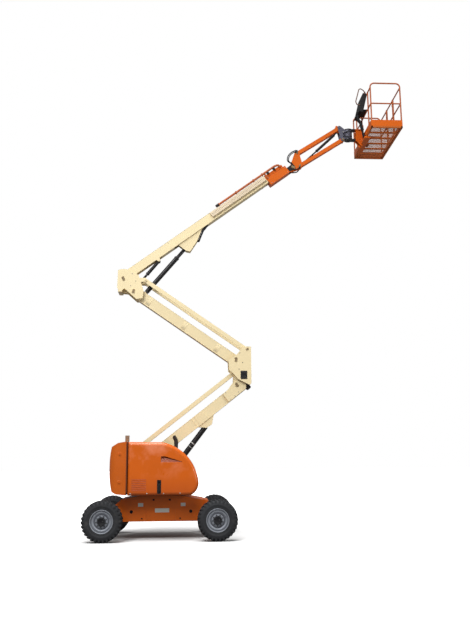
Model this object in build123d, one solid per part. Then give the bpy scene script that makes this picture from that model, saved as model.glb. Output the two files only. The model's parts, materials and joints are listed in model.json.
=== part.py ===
from build123d import *
import os
from math import atan2, cos, degrees, hypot, radians, sin

# Articulating boom lift, raised part-way: chassis on four wheels, slewing turret, two-stage folding
# tower, telescoping main boom, parallelogram jib and a work basket.
# Millimetres. +X points to the basket, +Y to the machine's left side, +Z up.
# Sizes are laid out from the middle of the wheelbase; every node is shifted by origin_x when it is
# written, so that the part's origin is at the middle of its bounding box, on the floor.

# ---------------------------------------------------------------- driving dimensions
wheelbase = 2340.0
overall_width = 2340.0
tyre_radius = 413.0
tyre_width = 315.0
tyre_shoulder = 42.0
rim_radius = 224.0
rim_wall = 8.0
rim_dish = 62.0
wheel_gap = 0.3                # between hub flange and wheel disc
hub_radius = 95.0
axle_tube = 150.0
kingpin_y = 700.0
kingpin_radius = 26.0
steer_arm_length = 180.0
steer_arm_y = 560.0
pin_clearance = 0.05           # radial running clearance of every pin
side_gap = 6.0                 # side clearance between moving plates
weld_plate = 12.0

chassis_bottom = 360.0
chassis_top = 884.0
axle_setback = 105.0           # axle line to the chassis end
chassis_half_width = 540.0
chassis_end_half_width = 400.0
ring_height = 46.0
ring_outer = 470.0
ring_inner = 360.0
ring_gap = 0.3

turntable_thickness = 34.0
turntable_half_width = 620.0
turret_plate = 20.0
channel_half = 290.0           # open channel between the two hood compartments
bulkhead_thickness = 10.0
hood_bottom = 905.0
hood_top = 1994.0
hood_outer_half = 950.0
hood_skin = 12.0
hood_gap = 22.0                # between bulkhead and hood edge
hood_front = 779.0
hood_rear = -685.0
hood_edge_round = 70.0
post_thickness = 26.0
cover_gap = 8.0
counterweight_rear = -1072.0

tower_length = 2810.0          # pin to pin, both tower booms
lower_angle = 38.0             # above horizontal, as it stands
mid_angle = 34.7               # falling toward the basket side, as it stands
tower_depth = 236.0
tower_half_width = 90.0
tower_wall = 8.0
link_depth = 90.0
link_rise = 295.0              # lower link's pin above the lower boom's pin
link_inner = 158.0             # the mid link is a pair of flat bars outside the main boom
link_plate = 22.0
pin_radius = 32.0
link_pin_radius = 22.0
lower_pivot = (-583.0, 1545.0)
lower_cylinder_foot = (16.0, 1126.0)
lower_cylinder_eye = (1762.0, -294.0)     # in the lower boom's own frame

upright_plate_inner = 187.0
upright_plate = 18.0
lug_inner = 96.0
lug_plate = 16.0
mid_pivot_offset = (-9.0, 525.0)          # from the lower boom's upper pin
mid_link_offset = (246.0, 245.0)          # from either mid boom pin
main_pivot_offset = (-230.0, 255.0)       # from the mid boom's upper pin
main_foot_offset = (242.0, -41.0)
level_foot_offset = (157.0, 265.0)
ear_inner = 56.0
ear_plate = 14.0

main_angle = 36.3
main_length = 4137.0
main_half_width = 98.0
main_top = 165.0
main_bottom = -35.0
main_wall = 7.0
main_fork_length = 1040.0
main_eye = (1701.0, -156.0)
level_eye = (919.0, -69.0)
fly_clearance = 9.0
fly_tail = 1880.0
fly_wall = 6.0
nose_length = 560.0
nose_depth = 195.0
knuckle_reach = 703.0                     # main boom's mouth to the knuckle's pivot, fly drawn in
knuckle_drop = 62.0
jib_pivot_offset = (190.0, 60.0)          # from the knuckle's pivot to the jib's lower pin

jib_length = 1260.0
jib_angle = 33.0
jib_offset = (-70.0, 300.0)               # upper bar's pin from the lower bar's pin
jib_bar_depth = 84.0
jib_bar_inner = 36.0           # each bar is a pair of flat tubes
jib_bar_outer = 64.0
jib_plate_inner = 70.0
jib_plate = 14.0
jib_cylinder_eye = (1190.0, -50.0)        # in the upper bar's own frame

rotator_radius = 95.0
rotator_height = 230.0
rotator_rise = 18.0             # rotator's lower face above the jib head's lower pin
rotator_reach = 153.5                     # from the jib head's lower pin to the swivel axis
basket_length = 740.0
basket_width = 1835.0
basket_height = 1100.0
basket_reach = 346.0                      # swivel axis to the basket's near edge
basket_drop = 39.2                        # basket floor below the jib head's lower pin
toe_board = 150.0
tread_rise = 3.0
floor_depth = 41.0
rail_radius = 17.0             # upright tubes
rail_long_radius = 16.0        # tubes along X
rail_cross_radius = 15.5       # tubes along Y
rail_clear = 12.0


# ---------------------------------------------------------------- helpers
def side_plane(y):
    """A drawing plane seen from the machine's right side: first axis +X, second axis +Z."""
    return Plane(origin=(0, y, 0), x_dir=(1, 0, 0), z_dir=(0, -1, 0))


def slab(outline, y_low, y_high):
    """A side outline made solid between two Y values."""
    return extrude(side_plane(y_high) * outline, amount=y_high - y_low)


def pair(outline, inner, outer):
    """The same outline on both sides of the centre plane."""
    return slab(outline, inner, outer) + slab(outline, -outer, -inner)


def disc(point, radius):
    return Pos(point[0], point[1]) * Circle(radius)


def lobes(*discs):
    """The plate outline that wraps round some discs, each given as (point, radius)."""
    rims = [edge for point, radius in discs for edge in disc(point, radius).edges()]
    return make_hull(rims)


def bar(start, end, low, high, y_low, y_high):
    """A straight box in side view, from start to end along X, from low to high in Z."""
    centre = Pos((start + end) / 2, (low + high) / 2)
    return slab(centre * Rectangle(end - start, high - low), y_low, y_high)


def round_bar(start, end, radius, z=0.0, y=0.0):
    """A round bar along X."""
    return Pos((start + end) / 2, y, z) * Rot(0, 90, 0) * Cylinder(radius, end - start)


def pin(point, radius, half_length):
    return slab(disc(point, radius), -half_length, half_length)


def stub_pins(point, radius, inner, outer):
    return pair(disc(point, radius), inner, outer)


def box_tube(start, end, low, high, half_width, wall):
    """A square tube along X, closed by a plate at both ends."""
    outer = bar(start, end, low, high, -half_width, half_width)
    inner = bar(start + wall, end - wall, low + wall, high - wall, -half_width + wall, half_width - wall)
    return outer - inner


def open_tube(start, end, low, high, half_width, wall):
    """A square tube along X, open at both ends."""
    outer = bar(start, end, low, high, -half_width, half_width)
    inner = bar(start - wall, end + wall, low + wall, high - wall, -half_width + wall, half_width - wall)
    return outer - inner


def placed(origin, angle, shape):
    """Moves a shape from a boom's own frame to the machine: angle is above the horizontal."""
    return Pos(origin[0], 0, origin[1]) * Rot(0, -angle, 0) * shape


def world(origin, angle, point):
    """The machine position of a point given in a boom's own frame."""
    turn = radians(angle)
    x = origin[0] + point[0] * cos(turn) - point[1] * sin(turn)
    z = origin[1] + point[0] * sin(turn) + point[1] * cos(turn)
    return (x, z)


def shifted(point, offset):
    return (point[0] + offset[0], point[1] + offset[1])


def cylinder_pair(foot, eye, closed_length, bore_radius, rod_radius, eye_radius, foot_half, eye_half,
                  pin_half,
                  rod_at_foot):
    """A hydraulic cylinder from its foot pin to its eye: the barrel and the rod, both at rest.
    The foot is bored for its carrier's pin; the eye carries its own pin."""
    length = hypot(eye[0] - foot[0], eye[1] - foot[1])
    angle = degrees(atan2(eye[1] - foot[1], eye[0] - foot[0]))
    wall = 8.0
    end_cap = 10.0
    gland = eye_radius * 0.9
    tail = eye_radius + 16.0
    barrel_half = eye_half if rod_at_foot else foot_half
    gland_start = closed_length - eye_radius - gland - 15.0
    barrel = round_bar(tail, gland_start, bore_radius + wall)
    barrel += round_bar(gland_start - 1.0, gland_start + gland, bore_radius + wall + 4.0)
    barrel -= round_bar(tail + end_cap, gland_start, bore_radius)
    barrel -= round_bar(gland_start - 1.0, gland_start + gland + 1.0, rod_radius + pin_clearance)
    barrel += bar(0.0, tail + 1.0, -eye_radius * 0.75, eye_radius * 0.75, -barrel_half, barrel_half)
    piston_start = length - closed_length + tail + 12.0
    rod = round_bar(piston_start, length - eye_radius * 0.8, rod_radius)
    rod += round_bar(piston_start, piston_start + eye_radius * 0.8, bore_radius - pin_clearance)
    if rod_at_foot:
        barrel = Pos(length, 0, 0) * mirror(barrel, about=Plane.YZ)
        rod = Pos(length, 0, 0) * mirror(rod, about=Plane.YZ)
    foot_end = slab(disc((0, 0), eye_radius), -foot_half, foot_half)
    foot_bore = slab(disc((0, 0), link_pin_radius + pin_clearance), -foot_half - 1.0, foot_half + 1.0)
    eye_end = slab(disc((length, 0), eye_radius), -eye_half, eye_half)
    eye_end += slab(disc((length, 0), eye_radius * 0.5), -pin_half, pin_half)
    if rod_at_foot:
        rod = rod + foot_end - foot_bore
        barrel += eye_end
    else:
        barrel = barrel + foot_end - foot_bore
        rod += eye_end
    return placed(foot, angle, barrel), placed(foot, angle, rod)


def swept(points, radius, bend):
    """A round tube along straight runs joined by arcs; points are (x, y, z)."""
    path = FilletPolyline(*points, radius=bend)
    section = Plane(origin=path @ 0, z_dir=path % 0) * Circle(radius)
    return sweep(section, path=path)


def side_hose(points, y, radius, bend, host_y, fitting):
    """A hose in a side plane, held at each end by a round fitting that reaches to host_y."""
    hose = swept([(x, y, z) for x, z in points], radius, bend)
    low, high = sorted([y - fitting / 2 if y < host_y else y + fitting / 2, host_y])
    for x, z in (points[0], points[-1]):
        hose += slab(disc((x, z), fitting), low, high)
    return hose


nodes = {}

# ---------------------------------------------------------------- pivots, as it stands
upper_lower_pin = world(lower_pivot, lower_angle, (tower_length, 0.0))
lower_link_foot = shifted(lower_pivot, (0.0, link_rise))
lower_link_top = shifted(upper_lower_pin, (0.0, link_rise))
mid_foot = shifted(upper_lower_pin, mid_pivot_offset)
mid_top = world(mid_foot, 180.0 - mid_angle, (tower_length, 0.0))
mid_link_foot = shifted(mid_foot, mid_link_offset)
mid_link_top = shifted(mid_top, mid_link_offset)
main_pivot = shifted(mid_top, main_pivot_offset)
main_foot = shifted(mid_top, main_foot_offset)
level_foot = shifted(mid_top, level_foot_offset)
knuckle_pivot = (main_length + knuckle_reach, -knuckle_drop)
knuckle_pin = world(main_pivot, main_angle, knuckle_pivot)
jib_foot = shifted(knuckle_pin, jib_pivot_offset)
jib_upper_foot = shifted(jib_foot, jib_offset)
jib_head_pin = world(jib_foot, jib_angle, (jib_length, 0.0))
basket_floor_z = jib_head_pin[1] - basket_drop
jib_upper_head = shifted(jib_head_pin, jib_offset)
swivel_x = jib_head_pin[0] + rotator_reach
basket_near = swivel_x + basket_reach
basket_far = basket_near + basket_length
origin_x = (basket_far - wheelbase / 2 - tyre_radius) / 2

# ---------------------------------------------------------------- wheels, axles and steering
front_x = wheelbase / 2
rear_x = -wheelbase / 2
wheel_outer_y = overall_width / 2


def tyre():
    """A tyre about Y, centred on the origin, with square shoulders cut at an angle."""
    half = tyre_width / 2
    profile = Polyline(
        (rim_radius, -half + 18.0),
        (tyre_radius - tyre_shoulder * 1.4, -half),
        (tyre_radius, -half + tyre_shoulder),
        (tyre_radius, half - tyre_shoulder),
        (tyre_radius - tyre_shoulder * 1.4, half),
        (rim_radius, half - 18.0),
        close=True,
    )
    return Rot(90, 0, 0) * revolve(Plane.XZ * make_face(profile), Axis.Z)


def rim():
    """A dished steel wheel: a barrel inside the tyre, a disc set in from the outer face, a hub cap."""
    half = tyre_width / 2 - 18.0
    disc_y = -(tyre_width / 2 - rim_dish)
    body = Cylinder(rim_radius, 2 * half) - Cylinder(rim_radius - rim_wall, 2 * half + 2)
    web = Pos(0, 0, -disc_y) * Cylinder(rim_radius - rim_wall / 2, 14.0)
    cap = Pos(0, 0, -disc_y + 30.0) * Cylinder(hub_radius - 15.0, 60.0)
    return Rot(90, 0, 0) * (body + web + cap)


wheel_sides = [("right", -1), ("left", 1)]
wheel_ends = [("front", front_x), ("rear", rear_x)]
wheel_centre_y = wheel_outer_y - tyre_width / 2
disc_inner_y = wheel_outer_y - rim_dish - 7.0
for end_name, wheel_x in wheel_ends:
    for side_name, side in wheel_sides:
        seat = Pos(wheel_x, side * wheel_centre_y, tyre_radius)
        facing = Rot(0, 0, 0) if side < 0 else Rot(0, 0, 180)
        nodes[end_name + "_" + side_name + "_tyre"] = seat * facing * tyre()
        nodes[end_name + "_" + side_name + "_rim"] = seat * facing * rim()

hub_seat_y = disc_inner_y - wheel_gap


def across(x, z, radius, y_low, y_high):
    """A round bar along Y."""
    return slab(disc((x, z), radius), y_low, y_high)


axle_half = axle_tube / 2
drive_axle = bar(front_x - axle_half, front_x + axle_half, tyre_radius - axle_half, tyre_radius + axle_half,
                 -kingpin_y, kingpin_y)
steer_axle = bar(rear_x - axle_half, rear_x + axle_half, tyre_radius - axle_half, tyre_radius + axle_half,
                 -steer_arm_y + 40.0, steer_arm_y - 40.0)
fork_gap = 96.0
for side_name, side in wheel_sides:
    low, high = sorted([side * (kingpin_y - 2.0), side * hub_seat_y])
    drive_axle += across(front_x, tyre_radius, hub_radius, low, high)
    low, high = sorted([side * (steer_arm_y - 40.0), side * (kingpin_y + 45.0)])
    fork = bar(rear_x - 48.0, rear_x + 48.0, tyre_radius + fork_gap, tyre_radius + fork_gap + 30.0, low,
               high)
    fork += bar(rear_x - 48.0, rear_x + 48.0, tyre_radius - fork_gap - 30.0, tyre_radius - fork_gap, low,
                high)
    low, high = sorted([side * (steer_arm_y - 40.0), side * (steer_arm_y + 5.0)])
    fork += bar(rear_x - 48.0, rear_x + 48.0, tyre_radius - fork_gap, tyre_radius + fork_gap, low, high)
    king_bore = Pos(rear_x, side * kingpin_y, tyre_radius) * Cylinder(kingpin_radius + pin_clearance, 400.0)
    steer_axle += fork - king_bore
    post = Pos(rear_x, side * kingpin_y, tyre_radius) * Cylinder(46.0, 2 * fork_gap - 2 * side_gap)
    kingpin = Pos(rear_x, side * kingpin_y, tyre_radius) * Cylinder(kingpin_radius, 2 * fork_gap + 72.0)
    low, high = sorted([side * kingpin_y, side * hub_seat_y])
    stub = across(rear_x, tyre_radius, 62.0, low, high)
    low, high = sorted([side * (hub_seat_y - 40.0), side * hub_seat_y])
    stub += across(rear_x, tyre_radius, hub_radius, low, high)
    arm_x = rear_x + steer_arm_length
    arm_y = side * kingpin_y
    arm = Pos((rear_x + arm_x) / 2, arm_y, tyre_radius - 60.0) * Box(steer_arm_length + 50.0, 44.0, 24.0)
    arm -= Pos(arm_x, arm_y, tyre_radius - 60.0) * Cylinder(12.0 + pin_clearance, 60.0)
    nodes[side_name + "_knuckle"] = post + kingpin + stub + arm

tie_y = kingpin_y
tie_rod_z = tyre_radius - 92.0
tie_rod = across(rear_x + steer_arm_length, tie_rod_z, 15.0, -tie_y, tie_y)
for side in (-1, 1):
    ball = Pos(rear_x + steer_arm_length, side * tie_y, tie_rod_z) * Cylinder(24.0, 34.0)
    stud = Pos(rear_x + steer_arm_length, side * tie_y, tie_rod_z + 32.0) * Cylinder(12.0, 64.0)
    tie_rod += ball + stud
nodes["tie_rod"] = tie_rod

# ---------------------------------------------------------------- chassis
chassis_end = wheelbase / 2 - axle_setback
chassis_outline = Polyline(
    (80.0 - chassis_end, chassis_bottom), (chassis_end - 80.0, chassis_bottom), (chassis_end, 470.0),
    (chassis_end, 640.0), (chassis_end - 81.0, 775.0), (394.0, chassis_top), (-445.0, chassis_top),
    (225.0 - chassis_end, 816.0), (35.0 - chassis_end, 640.0), (-chassis_end, 470.0),
    close=True,
)
chassis_face = make_face(chassis_outline)
chassis_middle = 2 * (chassis_end - 185.0)
middle_clip = Pos(0, 0, 600.0) * Box(chassis_middle, 2 * chassis_half_width, 700.0)
ends_clip = Pos(0, 0, 600.0) * Box(2 * (chassis_end + 235.0), 2 * chassis_end_half_width, 700.0)
chassis = slab(chassis_face, -chassis_half_width, chassis_half_width) & (middle_clip + ends_clip)
inner_face = offset(chassis_face, -weld_plate)
inside_middle = Pos(0, 0, 600.0) * Box(chassis_middle - 2 * weld_plate,
                                       2 * (chassis_half_width - weld_plate), 700.0)
inside_ends = Pos(0, 0, 600.0) * Box(2 * (chassis_end + 235.0),
                                     2 * (chassis_end_half_width - weld_plate), 700.0)
hollow = slab(inner_face, -chassis_half_width, chassis_half_width) & (inside_middle + inside_ends)
chassis -= hollow
lug_hole_radius = 21.0
lug_thickness = 25.0
lug_y = 330.0
lug_z = 560.0
lug_eye_x = chassis_end + 85.0
for end in (-1, 1):
    for side in (-1, 1):
        lug_x = end * (chassis_end - 15.0)
        eye_x = end * lug_eye_x
        lug_shape = lobes(((lug_x, side * lug_y), 66.0), ((eye_x, side * lug_y), 48.0))
        lug = Pos(0, 0, lug_z - lug_thickness / 2) * extrude(lug_shape, amount=lug_thickness)
        lug -= Pos(eye_x, side * lug_y, lug_z) * Cylinder(lug_hole_radius, 2 * lug_thickness)
        lug -= hollow
        chassis += lug
for saddle_x in (front_x, rear_x):
    saddle = bar(min(saddle_x, saddle_x * 0.85) - 40.0, max(saddle_x, saddle_x * 0.85) + 40.0,
                 tyre_radius + axle_half, tyre_radius + axle_half + 40.0, -260.0, 260.0)
    chassis += saddle - hollow
nodes["chassis_frame"] = chassis - drive_axle - steer_axle
nodes["drive_axle"] = drive_axle
nodes["steer_axle"] = steer_axle
ring_low = chassis_top
ring = Pos(0, 0, ring_low + ring_height / 2) * (Cylinder(ring_outer, ring_height)
                                                - Cylinder(ring_inner, ring_height + 2))
nodes["slewing_ring"] = ring

# ---------------------------------------------------------------- turret
deck_low = chassis_top + ring_height + ring_gap
deck_top = deck_low + turntable_thickness
deck_rear = hood_rear + hood_skin + cover_gap
deck_front = 590.0
deck_z = (deck_low + deck_top) / 2
deck = Pos((deck_rear + deck_front) / 2, 0, deck_z) * Box(
    deck_front - deck_rear, 2 * turntable_half_width, turntable_thickness)
tongue_rear = hood_rear - cover_gap - post_thickness
deck += Pos((tongue_rear + deck_rear + 2.0) / 2, 0, deck_z) * Box(
    deck_rear + 2.0 - tongue_rear, 2 * channel_half, turntable_thickness)
deck -= Pos(0, 0, deck_low) * Cylinder(150.0, 200.0)
tower_side = Polyline(
    (-660.0, deck_top), (160.0, deck_top), (110.0, 1190.0), (-60.0, 1260.0), (-480.0, 1640.0),
    (-520.0, 1905.0), (-646.0, 1905.0), (-668.0, 1700.0), close=True,
)
turret_inner = tower_half_width + side_gap
turret_outer = turret_inner + turret_plate
turntable = deck + pair(make_face(tower_side), turret_inner, turret_outer)
turntable += pin(lower_pivot, pin_radius, turret_outer + 10.0)
turntable += pin(lower_link_foot, link_pin_radius, turret_outer + 8.0)
turntable += pin(lower_cylinder_foot, link_pin_radius, turret_outer)
bulkhead_low = deck_top
bulkhead_front = hood_front - 230.0
bulkhead_outline = Polyline(
    (hood_rear + 5.0, bulkhead_low), (bulkhead_front, bulkhead_low), (bulkhead_front, 1560.0),
    (260.0, 1850.0), (60.0, 1940.0), (hood_rear + 5.0, 1940.0), close=True,
)
bulkheads = pair(make_face(bulkhead_outline), channel_half, channel_half + bulkhead_thickness)
nodes["turntable"] = turntable

post_rear = hood_rear - cover_gap - post_thickness
post_height = 1965.0
post = Pos(post_rear + post_thickness / 2, 0, (deck_top + post_height) / 2) * Box(
    post_thickness, 2 * (hood_outer_half - 14.0), post_height - deck_top)
post -= Pos(post_rear, 0, post_height) * Box(200.0, 2 * channel_half, 2 * (post_height - 1500.0))
nodes["hood_post"] = post

weight_front = post_rear
weight_face = make_face(
    Polyline((weight_front, 915.0), (weight_front, 2004.0), (-890.0, 1975.0), (-1022.0, 1894.0))
    + ThreePointArc((-1022.0, 1894.0), (counterweight_rear, 1429.0), (-1010.0, 988.0))
    + Polyline((-1010.0, 988.0), (-927.0, 937.0), (weight_front, 915.0))
)
weight = slab(weight_face, -hood_outer_half, hood_outer_half)
weight_corner = 190.0
plan = Pos((counterweight_rear + weight_front) / 2 + 60.0, 0, 1450.0) * extrude(
    RectangleRounded(weight_front - counterweight_rear + 120.0, 2 * hood_outer_half, weight_corner),
    amount=700.0, both=True)
weight = weight & plan
weight_core = Pos(weight_front - 110.0, 0, 1620.0) * Box(240.0, 1740.0, 620.0)
weight -= weight_core
nodes["counterweight"] = weight

hood_brow = ThreePointArc((20.0, hood_top - 8.0), (498.0, 1740.0), (hood_front, 1180.0))
hood_nose = TangentArc((hood_front, 1180.0), (620.0, hood_bottom), tangent=hood_brow % 1)
hood_outline = make_face(
    Polyline((hood_rear, hood_bottom), (hood_rear, hood_top), (20.0, hood_top - 8.0))
    + hood_brow + hood_nose
    + Line((620.0, hood_bottom), (hood_rear, hood_bottom))
)
hood_inner_y = channel_half + bulkhead_thickness + hood_gap


pocket_x = (0.0, 440.0)
pocket_z = (1572.0, 1694.0)
pocket_depth = 46.0


def hood_shell():
    """The right-hand hood: one moulding, open below and toward the middle."""
    outer = slab(hood_outline, -hood_outer_half, -hood_inner_y)
    rim_edges = outer.faces().sort_by(Axis.Y)[0].edges()
    outer = fillet(rim_edges, hood_edge_round)
    inner = slab(offset(hood_outline, -hood_skin), -hood_outer_half + hood_edge_round, -hood_inner_y + 10.0)
    inner += slab(offset(hood_outline, -hood_edge_round * 0.7), -hood_outer_half + hood_skin * 1.8,
                  -hood_inner_y + 10.0)
    floor_cut = bar(hood_rear + hood_skin, 600.0, hood_bottom - 10.0, hood_bottom + 30.0,
                    -hood_outer_half + 80.0, -hood_inner_y + 10.0)
    shell = outer - inner - floor_cut
    pocket_face = make_face(Polyline(
        (pocket_x[0], pocket_z[0]), (pocket_x[1], pocket_z[0]), (pocket_x[1], pocket_z[0] + 12.0),
        (pocket_x[0] + 90.0, pocket_z[1]), (pocket_x[0], pocket_z[1]), close=True))
    backing = bar(pocket_x[0] - 14.0, pocket_x[1] + 14.0, pocket_z[0] - 20.0, pocket_z[1] + 14.0,
                  -hood_outer_half + 5.0, -hood_outer_half + pocket_depth + 10.0)
    shell += backing & slab(hood_outline, -hood_outer_half, -hood_inner_y)
    slope = make_face(Polyline(
        (-hood_outer_half - 1.0, pocket_z[0] - 4.0), (-hood_outer_half + pocket_depth, pocket_z[1] - 12.0),
        (-hood_outer_half + pocket_depth, pocket_z[1] + 40.0), (-hood_outer_half - 1.0,
                pocket_z[1] + 40.0), close=True))
    wedge = extrude(Plane(origin=(pocket_x[0] - 50.0, 0, 0), x_dir=(0, 1, 0), z_dir=(1, 0, 0)) * slope,
                    amount=pocket_x[1] - pocket_x[0] + 100.0)
    recess = slab(pocket_face, -hood_outer_half - 1.0, -hood_outer_half + pocket_depth + 1.0) & wedge
    slot = slab(Pos(-32.0, 1078.0) * RectangleRounded(86.0, 282.0, 12.0),
                -hood_outer_half - 1.0, -hood_outer_half + 7.0)
    return shell - recess - slot


hinge_y = -(channel_half + bulkhead_thickness + 11.0)
hinge_z = hood_top - 19.0
hinge_pin_radius = 7.0
hinge_ear = 13.0
hinge_places = (-560.0, -80.0)
right_hood = hood_shell()
for hinge_x in hinge_places:
    ear = round_bar(hinge_x - 20.0, hinge_x + 20.0, hinge_ear, z=hinge_z, y=hinge_y)
    ear -= round_bar(hinge_x - 30.0, hinge_x + 30.0, hinge_pin_radius + pin_clearance, z=hinge_z, y=hinge_y)
    right_hood += ear
    arms = round_bar(hinge_x - 36.0, hinge_x + 36.0, hinge_pin_radius, z=hinge_z, y=hinge_y)
    for arm_x in (hinge_x - 30.0, hinge_x + 30.0):
        arms += Pos(arm_x, -channel_half - bulkhead_thickness / 2 - 4.0, hinge_z - 22.0) * Box(12.0, 24.0,
                60.0)
    bulkheads += arms + mirror(arms, about=Plane.XZ)
nodes["compartment_walls"] = bulkheads
latch = slab(Pos(-32.0, 1078.0) * RectangleRounded(80.0, 276.0, 10.0), -hood_outer_half - 4.0,
             -hood_outer_half + 6.9)
nodes["right_hood"] = right_hood
nodes["left_hood"] = mirror(right_hood, about=Plane.XZ)
nodes["right_hood_latch"] = latch
nodes["left_hood_latch"] = mirror(latch, about=Plane.XZ)

engine = Pos(-80.0, -600.0, deck_top + 330.0) * Box(860.0, 420.0, 640.0)
engine_feet = Pos(-80.0, -480.0, deck_top + 5.0) * Box(760.0, 160.0, 10.0)
nodes["engine_block"] = engine + engine_feet
tank = Pos(-80.0, 600.0, deck_top + 270.0) * Box(900.0, 440.0, 540.0)
tank_foot = Pos(-80.0, 480.0, deck_top + 5.0) * Box(800.0, 160.0, 10.0)
nodes["fluid_tanks"] = tank + tank_foot

exhaust_y = -250.0
exhaust_x = 297.0
exhaust_radius = 34.0
exhaust = Pos(exhaust_x, exhaust_y, (deck_top + 2040.0) / 2) * Cylinder(exhaust_radius, 2040.0 - deck_top)
exhaust += Pos(exhaust_x - 22.0, exhaust_y, 2085.0) * Rot(0, -27, 0) * Cylinder(exhaust_radius - 4.0, 120.0)
exhaust += Pos(exhaust_x, (exhaust_y - channel_half) / 2, 1300.0) * Box(40.0, channel_half + exhaust_y,
        60.0)
nodes["exhaust_pipe"] = exhaust
beacon_x = post_rear + post_thickness / 2
beacon_stub = Pos(beacon_x, -560.0, post_height + 22.0) * Box(post_thickness - 6.0, 40.0, 44.0)
beacon_stub += Pos(beacon_x - 26.0, -560.0, post_height + 108.0) * Box(84.0, 70.0, 128.0)
nodes["beacon"] = beacon_stub

# ---------------------------------------------------------------- tower: lower boom and its link
boom_low = -218.0
boom_high = boom_low + tower_depth
fork_start = tower_length - 380.0
cheek_inner = lug_inner + lug_plate + side_gap
cheek_plate = 16.0
boom_end = tower_length + 170.0
lower = box_tube(-105.0, boom_end - 60.0, boom_low, boom_high, tower_half_width, tower_wall)
foot_lug = lobes(((0, 0), 62.0), ((60.0, -100.0), 102.0))
lower += slab(foot_lug, -tower_half_width, tower_half_width)
cheek = make_face(Polyline(
    (fork_start, boom_low + 10.0), (boom_end - 60.0, boom_low + 10.0), (boom_end,
            -130.0), (boom_end - 20.0, 0.0),
    (tower_length + 40.0, 62.0), (tower_length - 60.0, 70.0), (fork_start + 140.0,
            boom_high), (fork_start, boom_high),
    close=True))
lower += pair(cheek, cheek_inner, cheek_inner + cheek_plate)
spacer = bar(fork_start, fork_start + 60.0, boom_low + 10.0, boom_high, tower_half_width - 1.0,
             cheek_inner + 1.0)
lower += spacer + mirror(spacer, about=Plane.XZ)
bracket_inner = 62.0
bracket_plate = 16.0
bracket = make_face(Polyline(
    (1545.0, boom_low + 5.0), (1690.0, -348.0), (1835.0, -362.0), (2000.0, boom_low + 5.0), close=True))
lower += pair(bracket, bracket_inner, bracket_inner + bracket_plate)
doubler = bar(1620.0, 1850.0, boom_low, boom_high - 16.0, tower_half_width - 1.0, tower_half_width + 5.0)
lower += doubler + mirror(doubler, about=Plane.XZ)
eye_slot = bar(1000.0, 1930.0, boom_low - 1.0, boom_low + 160.0, -bracket_inner - 6.0, bracket_inner + 6.0)
lower -= eye_slot
lower -= pin((0, 0), pin_radius + pin_clearance, 200.0)
lower += pair(disc((tower_length, 0.0), 58.0), cheek_inner, cheek_inner + cheek_plate + 4.0)
lower -= pin((tower_length, 0.0), pin_radius + pin_clearance, 200.0)
nodes["lower_boom"] = placed(lower_pivot, lower_angle, lower)
bumper = bar(boom_end - 60.0, boom_end + 20.0, boom_low - 10.0, boom_low + 120.0, -84.0, 84.0)
nodes["lower_boom_bumper"] = placed(lower_pivot, lower_angle, bumper)


def link_tube(half_width):
    body = box_tube(0.0, tower_length, -link_depth / 2, link_depth / 2, half_width, 6.0)
    for x in (0.0, tower_length):
        body += pin((x, 0.0), link_depth / 2, half_width)
    for x in (0.0, tower_length):
        body -= pin((x, 0.0), link_pin_radius + pin_clearance, half_width + 1.0)
    return body


nodes["lower_link"] = placed(lower_link_foot, lower_angle, link_tube(75.0))

# ---------------------------------------------------------------- tower: lower upright
uo = upper_lower_pin
plate_outer = upright_plate_inner + upright_plate
plate_face = make_face(Polyline(
    (uo[0] + 152.0, uo[1] + 838.0), (uo[0] + 332.0, uo[1] + 838.0), (uo[0] + 333.0, uo[1] + 15.0),
    (uo[0] + 300.0, uo[1] - 30.0), (uo[0] + 32.0, uo[1] + 105.0), (uo[0] - 79.0, uo[1] + 239.0),
    (uo[0] - 168.0, uo[1] + 307.0), (uo[0] - 178.0, uo[1] + 532.0), (uo[0] + 20.0,
            uo[1] + 667.0), close=True))
plate_face -= Pos(uo[0] + 166.0, uo[1] + 195.0) * Rectangle(150.0, 190.0)
upright = pair(plate_face, upright_plate_inner, plate_outer)
lug_face = lobes((uo, 72.0), (lower_link_top, 60.0), (shifted(lower_link_top, (60.0, 60.0)), 26.0))
upright += pair(lug_face, lug_inner, lug_inner + lug_plate)
spacer_face = lobes((shifted(lower_link_top, (10.0, 10.0)), 48.0), (shifted(lower_link_top, (60.0, 60.0)),
                    24.0))
upright += pair(spacer_face, lug_inner, upright_plate_inner + 2.0)
upright += pin(uo, pin_radius, cheek_inner + cheek_plate + 12.0)
upright += pin(lower_link_top, link_pin_radius, lug_inner + 2.0)
upright += pin(mid_foot, pin_radius, plate_outer + 10.0)
upright += stub_pins(mid_link_foot, link_pin_radius, link_inner - 3.0, plate_outer + 8.0)
cross_tube = shifted(uo, (241.0, 540.0))
upright += pin(cross_tube, link_pin_radius, plate_outer)
nodes["lower_upright"] = upright

# ---------------------------------------------------------------- tower: mid boom (a trough) and its link
half_depth = tower_depth / 2
floor_start = 150.0
trough = bar(-95.0, tower_length + 95.0, -half_depth, half_depth, -tower_half_width - 8.0,
             tower_half_width + 8.0)
trough -= bar(-200.0, tower_length - 60.0, -half_depth + tower_wall, half_depth + 5.0,
              -tower_half_width, tower_half_width)
trough -= bar(-200.0, floor_start, -half_depth - 5.0, half_depth, -tower_half_width, tower_half_width)
trough -= bar(-200.0, -95.0 + 60.0, -half_depth - 5.0, -half_depth + 60.0, -200.0, 200.0)
trough -= pin((0, 0), pin_radius + pin_clearance, 200.0)
trough -= pin((tower_length, 0), pin_radius + pin_clearance, 200.0)
nodes["mid_boom"] = placed(mid_top, -mid_angle, trough)

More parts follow.
